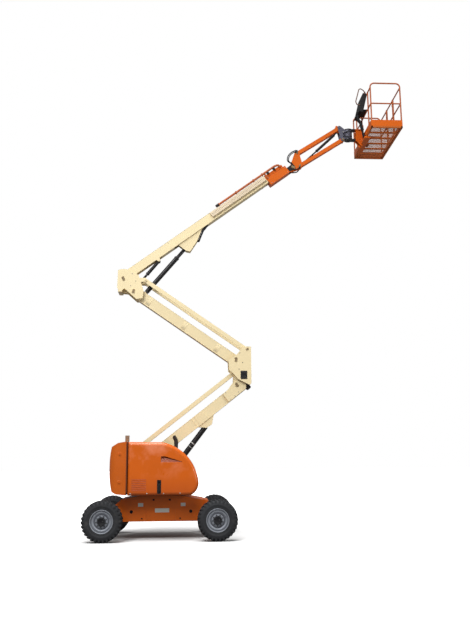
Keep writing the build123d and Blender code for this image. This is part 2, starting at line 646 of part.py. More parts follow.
side_bar = bar(0.0, tower_length, -link_depth / 2, link_depth / 2, link_inner, link_inner + link_plate)
for x in (0.0, tower_length):
    side_bar += slab(disc((x, 0.0), link_depth / 2), link_inner, link_inner + link_plate)
for x in (0.0, tower_length):
    side_bar -= pin((x, 0.0), link_pin_radius + pin_clearance, 400.0)
nodes["mid_link"] = placed(mid_link_top, -mid_angle, side_bar + mirror(side_bar, about=Plane.XZ))

# ---------------------------------------------------------------- tower: upper upright
mt = mid_top
side_face = make_face(Polyline(
    (mt[0] - 364.0, mt[1] + 470.0), (mt[0] - 376.0, mt[1] + 55.0), (mt[0] - 307.0, mt[1] - 40.0),
    (mt[0] - 215.0, mt[1] + 45.0), (mt[0] + 60.0, mt[1] - 205.0), (mt[0] + 200.0, mt[1] - 180.0),
    (mt[0] + 222.0, mt[1] + 0.0), (mt[0] + 138.0, mt[1] + 230.0), (mt[0] + 105.0, mt[1] + 352.0),
    (mt[0] + 18.0, mt[1] + 398.0), (mt[0] - 183.0, mt[1] + 495.0), (mt[0] - 290.0,
            mt[1] + 492.0), close=True))
side_face += lobes((mid_link_top, 46.0), (shifted(mid_link_top, (-150.0, 0.0)), 46.0))
upper = pair(side_face, upright_plate_inner, plate_outer)
foot_block = (mt[0] - 302.0, mt[1] + 12.0)
ear_outer = ear_inner + ear_plate
arm_face = (lobes((foot_block, 44.0), (mt, 52.0)) + lobes((mt, 52.0), (main_foot, 36.0))
            + lobes((mt, 52.0), (level_foot, 36.0)))
upper += pair(arm_face, ear_inner, ear_outer)
upper += bar(foot_block[0] - 55.0, foot_block[0] + 35.0, foot_block[1] - 44.0, foot_block[1] + 44.0,
             -plate_outer, plate_outer)
upper += pin(mt, pin_radius, plate_outer + 10.0)
upper += pin(main_pivot, pin_radius, plate_outer + 10.0)
upper += stub_pins(mid_link_top, link_pin_radius, link_inner - 3.0, plate_outer + 8.0)
upper += pin(main_foot, link_pin_radius, ear_outer)
upper += pin(level_foot, link_pin_radius, ear_outer)
nodes["upper_upright"] = upper

# ---------------------------------------------------------------- main boom
web = make_face(Polyline(
    (-70.0, -95.0), (90.0, -100.0), (330.0, main_bottom), (main_fork_length, main_bottom),
    (main_fork_length, main_top), (60.0, main_top), (-75.0, 80.0), close=True))
fork = pair(web, main_half_width - 14.0, main_half_width)
fork += bar(60.0, main_fork_length, main_top - main_wall, main_top, -main_half_width, main_half_width)
fork += bar(main_fork_length - 20.0, main_fork_length, main_bottom, main_top, -main_half_width,
            main_half_width)
tube = open_tube(main_fork_length - 1.0, main_length, main_bottom, main_top, main_half_width, main_wall)
gusset_inner = 62.0
gusset_plate = 16.0
gusset = make_face(Polyline(
    (1235.0, main_bottom + 5.0), (1500.0, main_bottom + 5.0), (1560.0, -250.0), (1626.0, -322.0), (1780.0,
            -262.0),
    (1905.0, -215.0), (2195.0, main_bottom + 5.0), close=True))
gusset_skirt = bar(1320.0, 2130.0, main_bottom, main_bottom + 60.0, main_half_width - 1.0,
                   main_half_width + 7.0)
main = fork + tube + pair(gusset, gusset_inner, gusset_inner + gusset_plate)
main += gusset_skirt + mirror(gusset_skirt, about=Plane.XZ)
level_lug = lobes(((level_eye[0], main_bottom + 20.0), 44.0), (level_eye, 34.0))
main += pair(level_lug, main_half_width - 14.0, main_half_width)
main -= bar(1380.0, 1840.0, main_bottom - 1.0, main_bottom + 60.0, -gusset_inner, gusset_inner)
main -= pin((0, 0), pin_radius + pin_clearance, 200.0)
pad_gap = 0.3
pad_start = main_length - 95.0
mouth_pad = bar(pad_start, pad_start + 80.0, main_bottom + main_wall - 1.0, main_top - main_wall + 1.0,
                -main_half_width + main_wall - 1.0, main_half_width - main_wall + 1.0)
mouth_pad -= bar(pad_start - 1.0, pad_start + 81.0, main_bottom + main_wall + fly_clearance - pad_gap,
                 main_top - main_wall - fly_clearance + pad_gap,
                 -main_half_width + main_wall + fly_clearance - pad_gap,
                 main_half_width - main_wall - fly_clearance + pad_gap)
main += mouth_pad
nodes["main_boom"] = placed(main_pivot, main_angle, main)

boom_hoses = side_hose([(2345.0, main_bottom - 10.0), (2335.0, -105.0), (2230.0, -190.0), (2110.0, -150.0),
                        (2060.0, -95.0)], -gusset_inner + 18.0, 10.0, 34.0, -gusset_inner, 15.0)
boom_hoses += side_hose([(2310.0, main_bottom - 10.0), (2300.0, -95.0), (2240.0, -140.0), (2140.0, -90.0)],
                        -gusset_inner + 42.0, 10.0, 34.0, -gusset_inner, 15.0)
nodes["boom_hoses"] = placed(main_pivot, main_angle, boom_hoses - main)

carrier_start = 2540.0
carrier_end = main_length - 25.0
carrier_low = 30.0
carrier_high = 150.0
carrier_depth = 50.0
carrier = bar(carrier_start, carrier_end, carrier_low, carrier_high, -main_half_width - carrier_depth,
              -main_half_width)
carrier -= bar(carrier_start + 30.0, carrier_end - 30.0, carrier_low + 42.0, carrier_high - 42.0,
               -main_half_width - carrier_depth - 1.0, -main_half_width - 12.0)
nodes["cable_carrier"] = placed(main_pivot, main_angle, carrier)

fly_low = main_bottom + main_wall + fly_clearance
fly_high = main_top - main_wall - fly_clearance
fly_half = main_half_width - main_wall - fly_clearance
nose_start = main_length + 12.0
nose_end = nose_start + nose_length
nose_low = -125.0
nose_high = nose_low + nose_depth
clevis_inner = 92.0
clevis_plate = 14.0
fly = open_tube(fly_tail, nose_end - 50.0, fly_low, fly_high, fly_half, fly_wall)
fly += box_tube(nose_start, nose_end, nose_low, nose_high, clevis_inner + clevis_plate, 8.0)
clevis = lobes(((nose_end - 60.0, knuckle_pivot[1]), 58.0), (knuckle_pivot, 62.0))
fly += pair(clevis, clevis_inner, clevis_inner + clevis_plate)
fly -= bar(nose_start - 60.0, nose_end - 49.0, fly_low + fly_wall, fly_high - fly_wall,
           -fly_half + fly_wall, fly_half - fly_wall)
fly += bar(nose_end - 58.0, nose_end - 50.0, fly_low + 1.0, fly_high - 1.0, -fly_half + 1.0, fly_half - 1.0)
fly -= pin(knuckle_pivot, pin_radius + pin_clearance, 200.0)
tail_pad = bar(fly_tail, fly_tail + 80.0, main_bottom + main_wall + pad_gap, main_top - main_wall - pad_gap,
               -main_half_width + main_wall + pad_gap, main_half_width - main_wall - pad_gap)
tail_pad -= bar(fly_tail - 1.0, fly_tail + 81.0, fly_low + 1.0, fly_high - 1.0, -fly_half + 1.0,
                fly_half - 1.0)
fly += tail_pad
nodes["fly_boom"] = placed(main_pivot, main_angle, fly)
carrier_tube = round_bar(2760.0, nose_start + 30.0, 26.0, z=main_top + 34.0, y=-main_half_width - 20.0)
carrier_tube += bar(nose_start + 10.0, nose_start + 50.0, nose_high - 20.0, main_top + 34.0, -125.0, -90.0)
nodes["carrier_tube"] = placed(main_pivot, main_angle, carrier_tube - fly)

# ---------------------------------------------------------------- jib
jib_outer = jib_plate_inner + jib_plate
knuckle_shape = lobes((knuckle_pin, 62.0), (jib_foot, 58.0), (jib_upper_foot, 56.0))
knuckle = pair(knuckle_shape, jib_plate_inner, jib_outer)
knuckle += pin(knuckle_pin, pin_radius, clevis_inner + clevis_plate + 10.0)
knuckle += pin(jib_foot, link_pin_radius, jib_outer + 8.0)
knuckle += stub_pins(jib_upper_foot, link_pin_radius, jib_bar_inner - 4.0, jib_outer + 8.0)
nodes["jib_knuckle"] = knuckle


kx, kz = knuckle_pin
knuckle_hoses = side_hose([(kx - 10.0, kz + 120.0), (kx - 106.0, kz + 200.0), (kx - 98.0, kz + 390.0),
                           (kx + 10.0, kz + 510.0), (kx + 128.0, kz + 490.0), (kx + 120.0, kz + 425.0)],
                          -jib_outer - 16.0, 9.0, 48.0, -jib_outer, 14.0)
nodes["knuckle_hoses"] = knuckle_hoses - knuckle


def jib_bar(tie_start, tie_end, tie_low, tie_high):
    """A jib bar in its own frame: two flat tubes, tied across where the cylinder never passes."""
    tube = box_tube(0.0, jib_length, -jib_bar_depth / 2, jib_bar_depth / 2,
                    (jib_bar_outer - jib_bar_inner) / 2, 5.0)
    side = Pos(0, (jib_bar_outer + jib_bar_inner) / 2, 0) * tube
    for x in (0.0, jib_length):
        side += slab(disc((x, 0.0), jib_bar_depth / 2), jib_bar_inner, jib_bar_outer)
    body = side + mirror(side, about=Plane.XZ)
    body += bar(tie_start, tie_end, tie_low, tie_high, -jib_bar_inner - 1.0, jib_bar_inner + 1.0)
    for x in (0.0, jib_length):
        body -= pin((x, 0.0), link_pin_radius + pin_clearance, 100.0)
    return body


nodes["jib_lower_bar"] = placed(jib_foot, jib_angle, jib_bar(300.0, 600.0, -jib_bar_depth / 2,
                                6.0 - jib_bar_depth / 2))
upper_bar = jib_bar(80.0, 280.0, jib_bar_depth / 2 - 6.0, jib_bar_depth / 2)
eye_lug = lobes((jib_cylinder_eye, 30.0), ((jib_cylinder_eye[0] - 50.0, -20.0), 30.0),
                ((jib_cylinder_eye[0] + 40.0, -20.0), 30.0))
lug_outer = jib_bar_inner - 5.0
upper_bar += pair(eye_lug, lug_outer - 12.0, lug_outer)
lug_root = bar(jib_cylinder_eye[0] - 60.0, jib_cylinder_eye[0] + 50.0, -34.0, 0.0, lug_outer - 12.0,
               jib_bar_inner + 1.0)
upper_bar += lug_root + mirror(lug_root, about=Plane.XZ)
upper_bar += pair(lobes(((jib_length - 20.0, 20.0), 22.0), ((jib_length - 40.0, 62.0), 22.0),
                  ((jib_length - 80.0, 20.0), 22.0)),
                  jib_bar_inner, jib_bar_outer)
upper_bar -= pin((jib_length, 0.0), link_pin_radius + pin_clearance, 100.0)
nodes["jib_upper_bar"] = placed(jib_upper_foot, jib_angle, upper_bar)

rotator_low = jib_head_pin[1] + rotator_rise
head_near = swivel_x - rotator_radius + 8.0
head_shape = lobes((jib_head_pin, 46.0), (jib_upper_head, 44.0))
head_shape += lobes((jib_head_pin, 46.0), ((head_near, rotator_low + 50.0), 30.0))
head_shape += lobes((jib_upper_head, 44.0), ((head_near, rotator_low + rotator_height - 40.0), 30.0))
head = pair(head_shape, jib_plate_inner, jib_outer)
housing = Pos(swivel_x, 0, rotator_low + rotator_height / 2) * Cylinder(rotator_radius, rotator_height)
head += housing
head += pin(jib_head_pin, link_pin_radius, jib_outer + 8.0)
head += stub_pins(jib_upper_head, link_pin_radius, jib_bar_inner - 4.0, jib_outer + 8.0)
nodes["jib_head"] = head
hose_y = -rotator_radius - 24.0
head_hoses = side_hose([(jib_head_pin[0] + 30.0, rotator_low + 50.0), (swivel_x - 20.0, rotator_low + 26.0),
                        (swivel_x + 62.0, rotator_low + 60.0), (swivel_x + 56.0, rotator_low + 176.0),
                        (swivel_x - 30.0, rotator_low + 190.0), (swivel_x - 56.0, rotator_low + 150.0)],
                       hose_y, 9.0, 38.0, -jib_plate_inner, 15.0)
nodes["head_hoses"] = head_hoses - head

# ---------------------------------------------------------------- basket
flange = 22.0
rotor_gap = 0.3
support = Pos(swivel_x, 0, rotator_low - rotor_gap - flange / 2) * Cylinder(rotator_radius + 8.0, flange)
support += Pos(swivel_x, 0, rotator_low + rotator_height + rotor_gap + flange / 2) * Cylinder(
    rotator_radius + 8.0, flange)
arm_x = (swivel_x + basket_near) / 2
arm_span = basket_near - swivel_x
for arm_z in (rotator_low - rotor_gap - flange / 2, rotator_low + rotator_height + rotor_gap + flange / 2):
    support += Pos(arm_x, 0, arm_z) * Box(arm_span, 150.0, flange)
back_plate_low = basket_floor_z - floor_depth - 30.0
back_plate_high = rotator_low + rotator_height + 60.0
support += Pos(basket_near - rail_clear / 2 - 8.0, 0, (back_plate_low + back_plate_high) / 2) * Box(
    16.0, 420.0, back_plate_high - back_plate_low)
support += Pos(basket_near + 20.0, 0, basket_floor_z - floor_depth - 20.0) * Box(140.0, 900.0, 40.0)
nodes["basket_support"] = support

half_width = basket_width / 2
floor_top = basket_floor_z
frame_depth = floor_depth - 3.0
floor_x = (basket_near + basket_far) / 2
floor_frame = Pos(floor_x, 0, floor_top - 3.0 - frame_depth / 2) * (
    Box(basket_length, basket_width, frame_depth)
    - Box(basket_length - 80.0, basket_width - 80.0, frame_depth + 2))
cross_count = 6
for i in range(1, cross_count):
    y = -half_width + i * basket_width / cross_count
    floor_frame += Pos(floor_x, y, floor_top - 3.0 - frame_depth / 2) * Box(basket_length - 20.0, 30.0,
            frame_depth - 6)
floor_frame += Pos(floor_x, 0, floor_top - 1.5) * Box(basket_length, basket_width, 3.0)
floor_frame += Pos(floor_x, 0, floor_top + tread_rise / 2) * Box(
    basket_length - 160.0, basket_width - 160.0, tread_rise)
nodes["basket_floor"] = floor_frame

rail_inset = rail_radius + 1.5
rail_x_low = basket_near + rail_inset
rail_x_high = basket_far - rail_inset
rail_y = half_width - rail_inset
gate_low = -300.0
gate_high = 300.0
rail_top = floor_top + basket_height - rail_radius
rail_bend = 95.0
rail_end_top = rail_top - rail_bend - 12.0
rail_mid = floor_top + basket_height * 0.52
console_y = -310.0


def rail_x(x_low, x_high, y, z):
    return round_bar(x_low, x_high, rail_long_radius, z=z, y=y)


def rail_along_y(x, y_low, y_high, z):
    return across(x, z, rail_cross_radius, y_low, y_high)


def post_at(x, y, z_low, z_high):
    return Pos(x, y, (z_low + z_high) / 2) * Cylinder(rail_radius, z_high - z_low)


rails = None
for y in (-rail_y, rail_y):
    hoop = swept([(rail_x_low, y, floor_top), (rail_x_low, y, rail_top), (rail_x_high, y, rail_top),
                  (rail_x_high, y, floor_top)], rail_radius, rail_bend)
    rails = hoop if rails is None else rails + hoop
    rails += rail_x(rail_x_low, rail_x_high, y, rail_mid)
for z in (rail_end_top, rail_mid):
    rails += rail_along_y(rail_x_low, -rail_y, rail_y, z)
    rails += rail_along_y(rail_x_high, -rail_y, gate_low, z)
    rails += rail_along_y(rail_x_high, gate_high, rail_y, z)
for y in (gate_low, gate_high):
    rails += post_at(rail_x_high, y, floor_top, rail_end_top + rail_radius)
for y in (console_y - 330.0, console_y + 330.0, 560.0):
    rails += post_at(rail_x_low, y, floor_top, rail_end_top + rail_radius)
board = 4.0
board_z = floor_top + toe_board / 2
board_inset = 6.0
for y in (-half_width + board_inset, half_width - board_inset):
    rails += Pos(floor_x, y, board_z) * Box(basket_length - 2 * board_inset, board, toe_board)
rails += Pos(basket_near + board_inset, 0, board_z) * Box(board, basket_width - 2 * board_inset, toe_board)
for low, high in ((-half_width + board_inset, gate_low), (gate_high, half_width - board_inset)):
    rails += Pos(basket_far - board_inset, (low + high) / 2, board_z) * Box(board, high - low, toe_board)

gate_gap = 12.0
gate_y_low = gate_low + 2 * rail_radius + gate_gap
gate_y_high = gate_high - 2 * rail_radius - gate_gap
eye_height = 26.0
for eye_z in (floor_top + 300.0, floor_top + 850.0):
    hinge_eye = Pos(rail_x_high, gate_y_low, eye_z) * Cylinder(rail_radius + 8.0, eye_height)
    hinge_eye += Pos(rail_x_high, (gate_low + gate_y_low) / 2, eye_z) * Box(16.0, gate_y_low - gate_low,
            eye_height)
    hinge_eye -= Pos(rail_x_high, gate_y_low, eye_z) * Cylinder(rail_radius + pin_clearance,
            eye_height + 2.0)
    rails += hinge_eye
nodes["basket_rails"] = rails
gate_top = rail_end_top + rail_radius
gate = post_at(rail_x_high, gate_y_low, floor_top + 40.0, gate_top)
gate += post_at(rail_x_high, gate_y_high, floor_top + 40.0, gate_top)
gate += rail_along_y(rail_x_high, gate_y_low, gate_y_high, rail_end_top)
gate += rail_along_y(rail_x_high, gate_y_low, gate_y_high, rail_mid)
gate += Pos(rail_x_high, (gate_y_low + gate_y_high) / 2, floor_top + 90.0) * Box(
    board, gate_y_high - gate_y_low, 110.0)
nodes["basket_gate"] = gate

console_z = floor_top + 760.0
console_x = basket_near - 84.0
console_lean = 14.0
console = Pos(console_x, console_y, console_z) * Rot(0, console_lean, 0) * Box(100.0, 520.0, 470.0)
console += Pos(basket_near - 20.0, console_y, rail_mid + 34.0) * Box(110.0, 300.0, 60.0)
console = console - rails
nodes["control_console"] = console
guard_y = console_y - 225.0
guard = swept([(rail_x_low, guard_y, rail_end_top), (basket_near - 60.0, guard_y, rail_top + 10.0),
               (basket_near - 150.0, guard_y, rail_top + 66.0), (basket_near - 250.0, guard_y,
                       rail_top - 290.0),
               (basket_near - 220.0, guard_y, rail_top - 370.0), (console_x - 30.0, guard_y,
                       rail_top - 370.0)],
              12.0, 40.0)
nodes["console_guard"] = guard - rails - console

hose_radius = 9.0
console_hoses = None
for row, y in enumerate((console_y - 60.0, console_y - 34.0, console_y - 8.0, console_y + 18.0)):
    spread = 12.0 * (row % 2)
    hose = swept([(console_x - 90.0 + spread, y, console_z - 150.0), (console_x - 90.0 + spread, y,
                 console_z - 300.0),
                  (console_x - 16.0 + spread, y, console_z - 460.0), (basket_near - 34.0 - spread, y,
                          floor_top - 20.0),
                  (basket_near - 34.0 - spread, y, back_plate_low + 40.0)], hose_radius + (row % 2), 55.0)
    console_hoses = hose if console_hoses is None else console_hoses + hose
clip = Pos(basket_near - 32.0, console_y - 21.0, back_plate_low + 60.0) * Box(48.0, 130.0, 30.0)
console_hoses += clip
nodes["console_hoses"] = console_hoses - console - support - rails

# ---------------------------------------------------------------- hydraulic cylinders
lower_eye_world = world(lower_pivot, lower_angle, lower_cylinder_eye)
main_eye_world = world(main_pivot, main_angle, main_eye)
level_eye_world = world(main_pivot, main_angle, level_eye)
jib_eye_world = world(jib_upper_foot, jib_angle, jib_cylinder_eye)
cylinder_rows = [
    # name, foot, eye, closed length, bore radius, rod radius, eye radius,
    # half widths of the foot, the eye and the eye's pin, and whether the rod is at the foot
    ("lower_lift", lower_cylinder_foot, lower_eye_world, 1165.0, 50.0, 34.0, 52.0, 60.0, 50.0, 56.0, True),
    ("main_lift", main_foot, main_eye_world, 1195.0, 44.0, 30.0, 46.0, 50.0, 50.0, 56.0, False),
    ("level", level_foot, level_eye_world, 470.0, 30.0, 14.0, 36.0, 50.0, 46.0, 78.0, True),
    ("jib", jib_foot, jib_eye_world, 880.0, 20.0, 13.0, 32.0, 14.0, 14.0, 18.0, False),
]
for name, *sizes in cylinder_rows:
    barrel, rod = cylinder_pair(*sizes)
    nodes[name + "_barrel"] = barrel
    nodes[name + "_rod"] = rod

# ---------------------------------------------------------------- write every node
os.makedirs("parts", exist_ok=True)
for name, shape in nodes.items():
    export_step(Pos(-origin_x, 0, 0) * shape, "parts/" + name + ".step")
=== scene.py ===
import json
import math
from itertools import product

import bmesh
import bpy
from mathutils import Matrix, Vector


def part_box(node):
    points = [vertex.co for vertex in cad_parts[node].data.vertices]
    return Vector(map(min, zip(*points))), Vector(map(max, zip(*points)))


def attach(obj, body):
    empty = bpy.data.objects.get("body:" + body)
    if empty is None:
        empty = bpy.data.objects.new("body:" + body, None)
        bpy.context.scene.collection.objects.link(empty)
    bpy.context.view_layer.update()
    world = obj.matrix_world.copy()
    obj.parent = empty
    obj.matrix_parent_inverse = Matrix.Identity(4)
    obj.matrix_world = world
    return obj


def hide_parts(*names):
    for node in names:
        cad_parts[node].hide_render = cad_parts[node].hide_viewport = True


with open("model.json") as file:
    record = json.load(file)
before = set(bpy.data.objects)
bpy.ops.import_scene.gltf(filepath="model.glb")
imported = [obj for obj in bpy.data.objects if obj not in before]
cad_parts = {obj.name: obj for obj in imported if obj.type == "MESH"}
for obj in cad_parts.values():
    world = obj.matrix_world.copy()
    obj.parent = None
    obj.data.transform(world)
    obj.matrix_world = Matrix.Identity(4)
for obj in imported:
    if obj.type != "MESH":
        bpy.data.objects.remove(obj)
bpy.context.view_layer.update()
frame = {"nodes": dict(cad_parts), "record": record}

nodes = frame["nodes"]
joints = {j["name"]: j for j in frame["record"]["behaviour"]["joints"]}
WHEELS = [end + "_" + side for end in ("front", "rear") for side in ("right", "left")]
SIDES = (("right", -1), ("left", 1))
X, Y, Z = Vector((1, 0, 0)), Vector((0, 1, 0)), Vector((0, 0, 1))
WHITE = (1.0, 1.0, 1.0, 1.0)
scene = bpy.context.scene


def box_of(node):
    """A node's box: its low corner, its high corner and its middle."""
    low, high = map(Vector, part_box(node))
    return low, high, (low + high) / 2


def joint_at(name):
    return Vector(joints[name]["pos_m"])


def add_object(name, data):
    obj = bpy.data.objects.new(name, data)
    scene.collection.objects.link(obj)
    return obj


# ---- frames along the arms (metres)
def tilted(origin, along):
    """A frame whose X runs along an arm, Y is the machine's left, Z is square to the arm and up."""
    x_dir = Vector((along[0], 0, along[2])).normalized()
    z_dir = Vector((-x_dir.z, 0, x_dir.x))
    turn = Matrix((x_dir, Y, z_dir)).transposed().to_4x4()
    return Matrix.Translation((origin[0], 0, origin[2])) @ turn


wheel_mid = (joint_at("front_right_wheel_spin").x + joint_at("rear_right_wheel_spin").x) / 2
BASE = Matrix.Translation((wheel_mid, 0, 0))
LOWER = tilted(joint_at("tower_lift"), joint_at("lower_upright_swing") - joint_at("tower_lift"))
MID = tilted(joint_at("upper_upright_swing"), joint_at("mid_boom_swing") - joint_at("upper_upright_swing"))
MAIN = tilted(joint_at("main_boom_lift"), Vector(joints["fly_extension"]["axis"]))
JIB = tilted(joint_at("jib_lift"), joint_at("jib_head_swing") - joint_at("jib_lift"))
JIB_TOP = tilted(joint_at("jib_upper_bar_swing"), joint_at("jib_head_swing") - joint_at("jib_lift"))

# ---- camera
EYE = (wheel_mid + 0.625, -16.506, 1.643)
cam_data = bpy.data.cameras.new("camera")
cam = add_object("camera", cam_data)
yaw, pitch, roll = math.radians(-3.451), math.radians(11.33), math.radians(-0.466)
fwd = Vector((-math.sin(yaw) * math.cos(pitch), math.cos(yaw) * math.cos(pitch), math.sin(pitch)))
right = Vector((math.cos(yaw), math.sin(yaw), 0))
up = right.cross(fwd)
cam_right = right * math.cos(roll) + up * math.sin(roll)
cam_up = -right * math.sin(roll) + up * math.cos(roll)
cam.matrix_world = Matrix.Translation(EYE) @ Matrix((cam_right, cam_up, -fwd)).transposed().to_4x4()
cam_data.sensor_fit = "AUTO"
cam_data.sensor_width = 36.0
cam_data.lens = 42.34
cam_data.clip_end = 300.0
scene.camera = cam

# ---- stage and light
scene.view_settings.view_transform = "Standard"


class Nodes:
    """Short names for building one node tree. A socket takes a constant or the output of another node."""

    def __init__(self, owner):
        owner.use_nodes = True
        self.tree = owner.node_tree
        self.tree.nodes.clear()

    def add(self, kind, sockets={}, **props):
        node = self.tree.nodes.new(kind)
        for key, value in props.items():
            setattr(node, key, value)
        for key, value in sockets.items():
            if isinstance(value, bpy.types.NodeSocket):
                self.tree.links.new(value, node.inputs[key])
            else:
                node.inputs[key].default_value = value
        return node

    def noise(self, vector, scale, detail=4.0, rough=0.55):
        return self.add("ShaderNodeTexNoise", {"Vector": vector, "Scale": scale, "Detail": detail,
                                               "Roughness": rough}).outputs["Fac"]

    def span(self, value, low, high, to_low=0, to_high=1.0):
        return self.add("ShaderNodeMapRange", {"Value": value, "From Min": low, "From Max": high,
                                               "To Min": to_low, "To Max": to_high}).outputs["Result"]

    def math(self, op, a, b):
        return self.add("ShaderNodeMath", {0: a, 1: b}, operation=op).outputs[0]

    def vector(self, op, a, b):
        return self.add("ShaderNodeVectorMath", {0: a, 1: b}, operation=op).outputs["Value"]

    def mix(self, fac, a, b):
        a, b = ((*v, 1.0) if isinstance(v, tuple) else v for v in (a, b))
        return self.add("ShaderNodeMix", {0: fac, 6: a, 7: b}, data_type="RGBA").outputs[2]


def lin(r, g, b):
    """An sRGB colour, 0 to 255, as the linear colour that shaders take."""
    return tuple((c / 255 / 12.92) if c <= 10 else ((c / 255 + 0.055) / 1.055) ** 2.4 for c in (r, g, b))


floor_mesh = bpy.data.meshes.new("floor")
floor_mesh.from_pydata([(-60, -60, 0), (60, -60, 0), (60, 90, 0), (-60, 90, 0)], [], [(0, 1, 2, 3)])
floor = add_object("floor", floor_mesh)
floor.location.z = -0.002
floor_mat = bpy.data.materials.new("studio_floor")
f = Nodes(floor_mat)
seen = f.add("ShaderNodeLightPath").outputs["Is Camera Ray"]
away = f.vector("DISTANCE", f.add("ShaderNodeTexCoord").outputs["Object"], (wheel_mid, 0, 0))
matt = f.add("ShaderNodeBsdfDiffuse", {"Color": f.mix(seen, (0.16, 0.16, 0.16), (0.8, 0.8, 0.8))})
glow = f.add("ShaderNodeEmission", {"Color": WHITE,
                                    "Strength": f.math("MULTIPLY", seen, f.span(away, 1.6, 4.5, 0, 0.9))})
both = f.add("ShaderNodeAddShader", {0: matt.outputs[0], 1: glow.outputs[0]})
f.add("ShaderNodeOutputMaterial", {"Surface": both.outputs[0]})
floor_mesh.materials.append(floor_mat)

world = bpy.data.worlds.new("studio")
scene.world = world
w = Nodes(world)
rays = w.add("ShaderNodeLightPath").outputs
clear = w.math("MAXIMUM", rays["Is Camera Ray"], rays["Is Transmission Ray"])
backdrop = w.add("ShaderNodeBackground", {"Color": WHITE, "Strength": w.span(clear, 0, 1.0, 0.24, 1.0)})
w.add("ShaderNodeOutputWorld", {"Surface": backdrop.outputs[0]})


def lamp(name, place, target, size, power):
    data = bpy.data.lights.new(name, "AREA")
    data.shape = "RECTANGLE"
    data.size, data.size_y = size
    data.energy = power
    obj = add_object(name, data)
    obj.location = place
    obj.rotation_euler = (Vector(target) - Vector(place)).to_track_quat("-Z", "Y").to_euler()


lamp("key", (-7.0, -13.0, 14.0), (0, 0, 3.5), (7.0, 7.0), 2000.0)
lamp("fill", (10.0, -9.0, 5.0), (0, 0, 4.0), (6.0, 6.0), 420.0)
sky_data = bpy.data.lights.new("overhead", "SUN")
sky_data.energy = 2.5
sky_data.angle = math.radians(38.0)
add_object("overhead", sky_data).rotation_euler = (math.radians(13.0), math.radians(-4.0), 0)


# ---- materials
M, SLOT = {}, {}  # the finishes and the record's slots, by key


def paint(key, slot, base, rough, spread, grime, dirt, grain=0.15, grain_scale=260.0, metallic=0, coat=0, wear=0,
          bare=(0.3, 0.29, 0.28), low_dirt=0, band=None, painted_light=None):
    """Adds a painted, moulded or bare surface to the table under a short key, with the slot of the record that it
    fills: patchy colour, spots of grime, worn edges and fine grain."""
    M[key], SLOT[key] = bpy.data.materials.new(key), slot
    n = Nodes(M[key])
    place = n.add("ShaderNodeTexCoord").outputs["Object"]
    at = n.add("ShaderNodeSeparateXYZ", {0: place}).outputs
    colour = n.mix(n.span(n.noise(place, 1.3, 5.0), 0.3, 0.7), tuple(c * (1 - spread) for c in base),
                   tuple(min(1.0, c * (1 + spread)) for c in base))
    if band:  # past a distance along a direction the paint changes
        direction, distance, beyond = band
        colour = n.mix(n.math("GREATER_THAN", n.vector("DOT_PRODUCT", place, direction), distance), colour, beyond)
    if painted_light:  # painted highlights in patches high up, painted shade low down and painted shade in the recess between the walls
        painted_highlight, painted_low_shade, painted_recess_shade, walls = painted_light
        highlight_patches = n.math("MULTIPLY", n.span(n.noise(place, 2.4), 0.44, 0.66, 0, 0.62),
                       n.span(at["Z"], 1.2, 1.55))
        colour = n.mix(n.span(at["Z"], 1.3, 0.98, 0, 0.45), n.mix(highlight_patches, colour, painted_highlight), painted_low_shade)
        inside = n.math("LESS_THAN", n.math("ABSOLUTE", at["Y"], 0), 0.9484)
        for axis, start, end in walls:
            inside = n.math("MULTIPLY", inside, n.math("GREATER_THAN", at[axis], start))
            inside = n.math("MULTIPLY", inside, n.math("LESS_THAN", at[axis], end))
        colour = n.mix(inside, colour, painted_recess_shade)
    smear = n.noise(place, 6.5, 9.0, 0.68)
    spots = n.span(smear, 0.56, 0.82, 0, grime)
    if low_dirt:
        dust = n.math("MULTIPLY", n.span(at["Z"], 0.25, 1.15, low_dirt, 0),
                      n.span(n.noise(place, 11.0, 8.0, 0.7), 0.32, 0.7))
        spots = n.math("MAXIMUM", spots, dust)
    colour = n.mix(spots, colour, dirt)
    if wear:
        eased = n.add("ShaderNodeBevel", {"Radius": 0.006}, samples=4).outputs["Normal"]
        plain = n.add("ShaderNodeNewGeometry").outputs["Normal"]
        edge = n.span(n.vector("DOT_PRODUCT", eased, plain), 0.985, 0.9)
        broken = n.span(n.noise(place, 42.0, 6.0, 0.7), 0.47, 0.6)
        colour = n.mix(n.math("MULTIPLY", n.math("MULTIPLY", edge, broken), wear), colour, bare)
    bump = n.add("ShaderNodeBump", {"Strength": grain, "Distance": 0.002,
                                    "Height": n.noise(place, grain_scale, 3.0, 0.6)})
    shader = n.add("ShaderNodeBsdfPrincipled", {
        "Base Color": colour, "Metallic": metallic, "Specular IOR Level": 0.3, "Normal": bump.outputs["Normal"],
        "Roughness": n.span(smear, 0.3, 0.75, rough * 0.85, min(1.0, rough * 1.25 + 0.05))})
    if coat:
        shader.inputs["Coat Weight"].default_value = coat
        shader.inputs["Coat Roughness"].default_value = 0.12
    n.add("ShaderNodeOutputMaterial", {"Surface": shader.outputs[0]})


ORANGE = lin(214, 98, 14)
ORANGE_DIRT, ORANGE_BARE = (0.2, 0.085, 0.03), (0.22, 0.11, 0.05)
BAND_AT = 4.712  # along the main boom, where the fly boom's nose turns black
main_x = MAIN.to_3x3() @ X
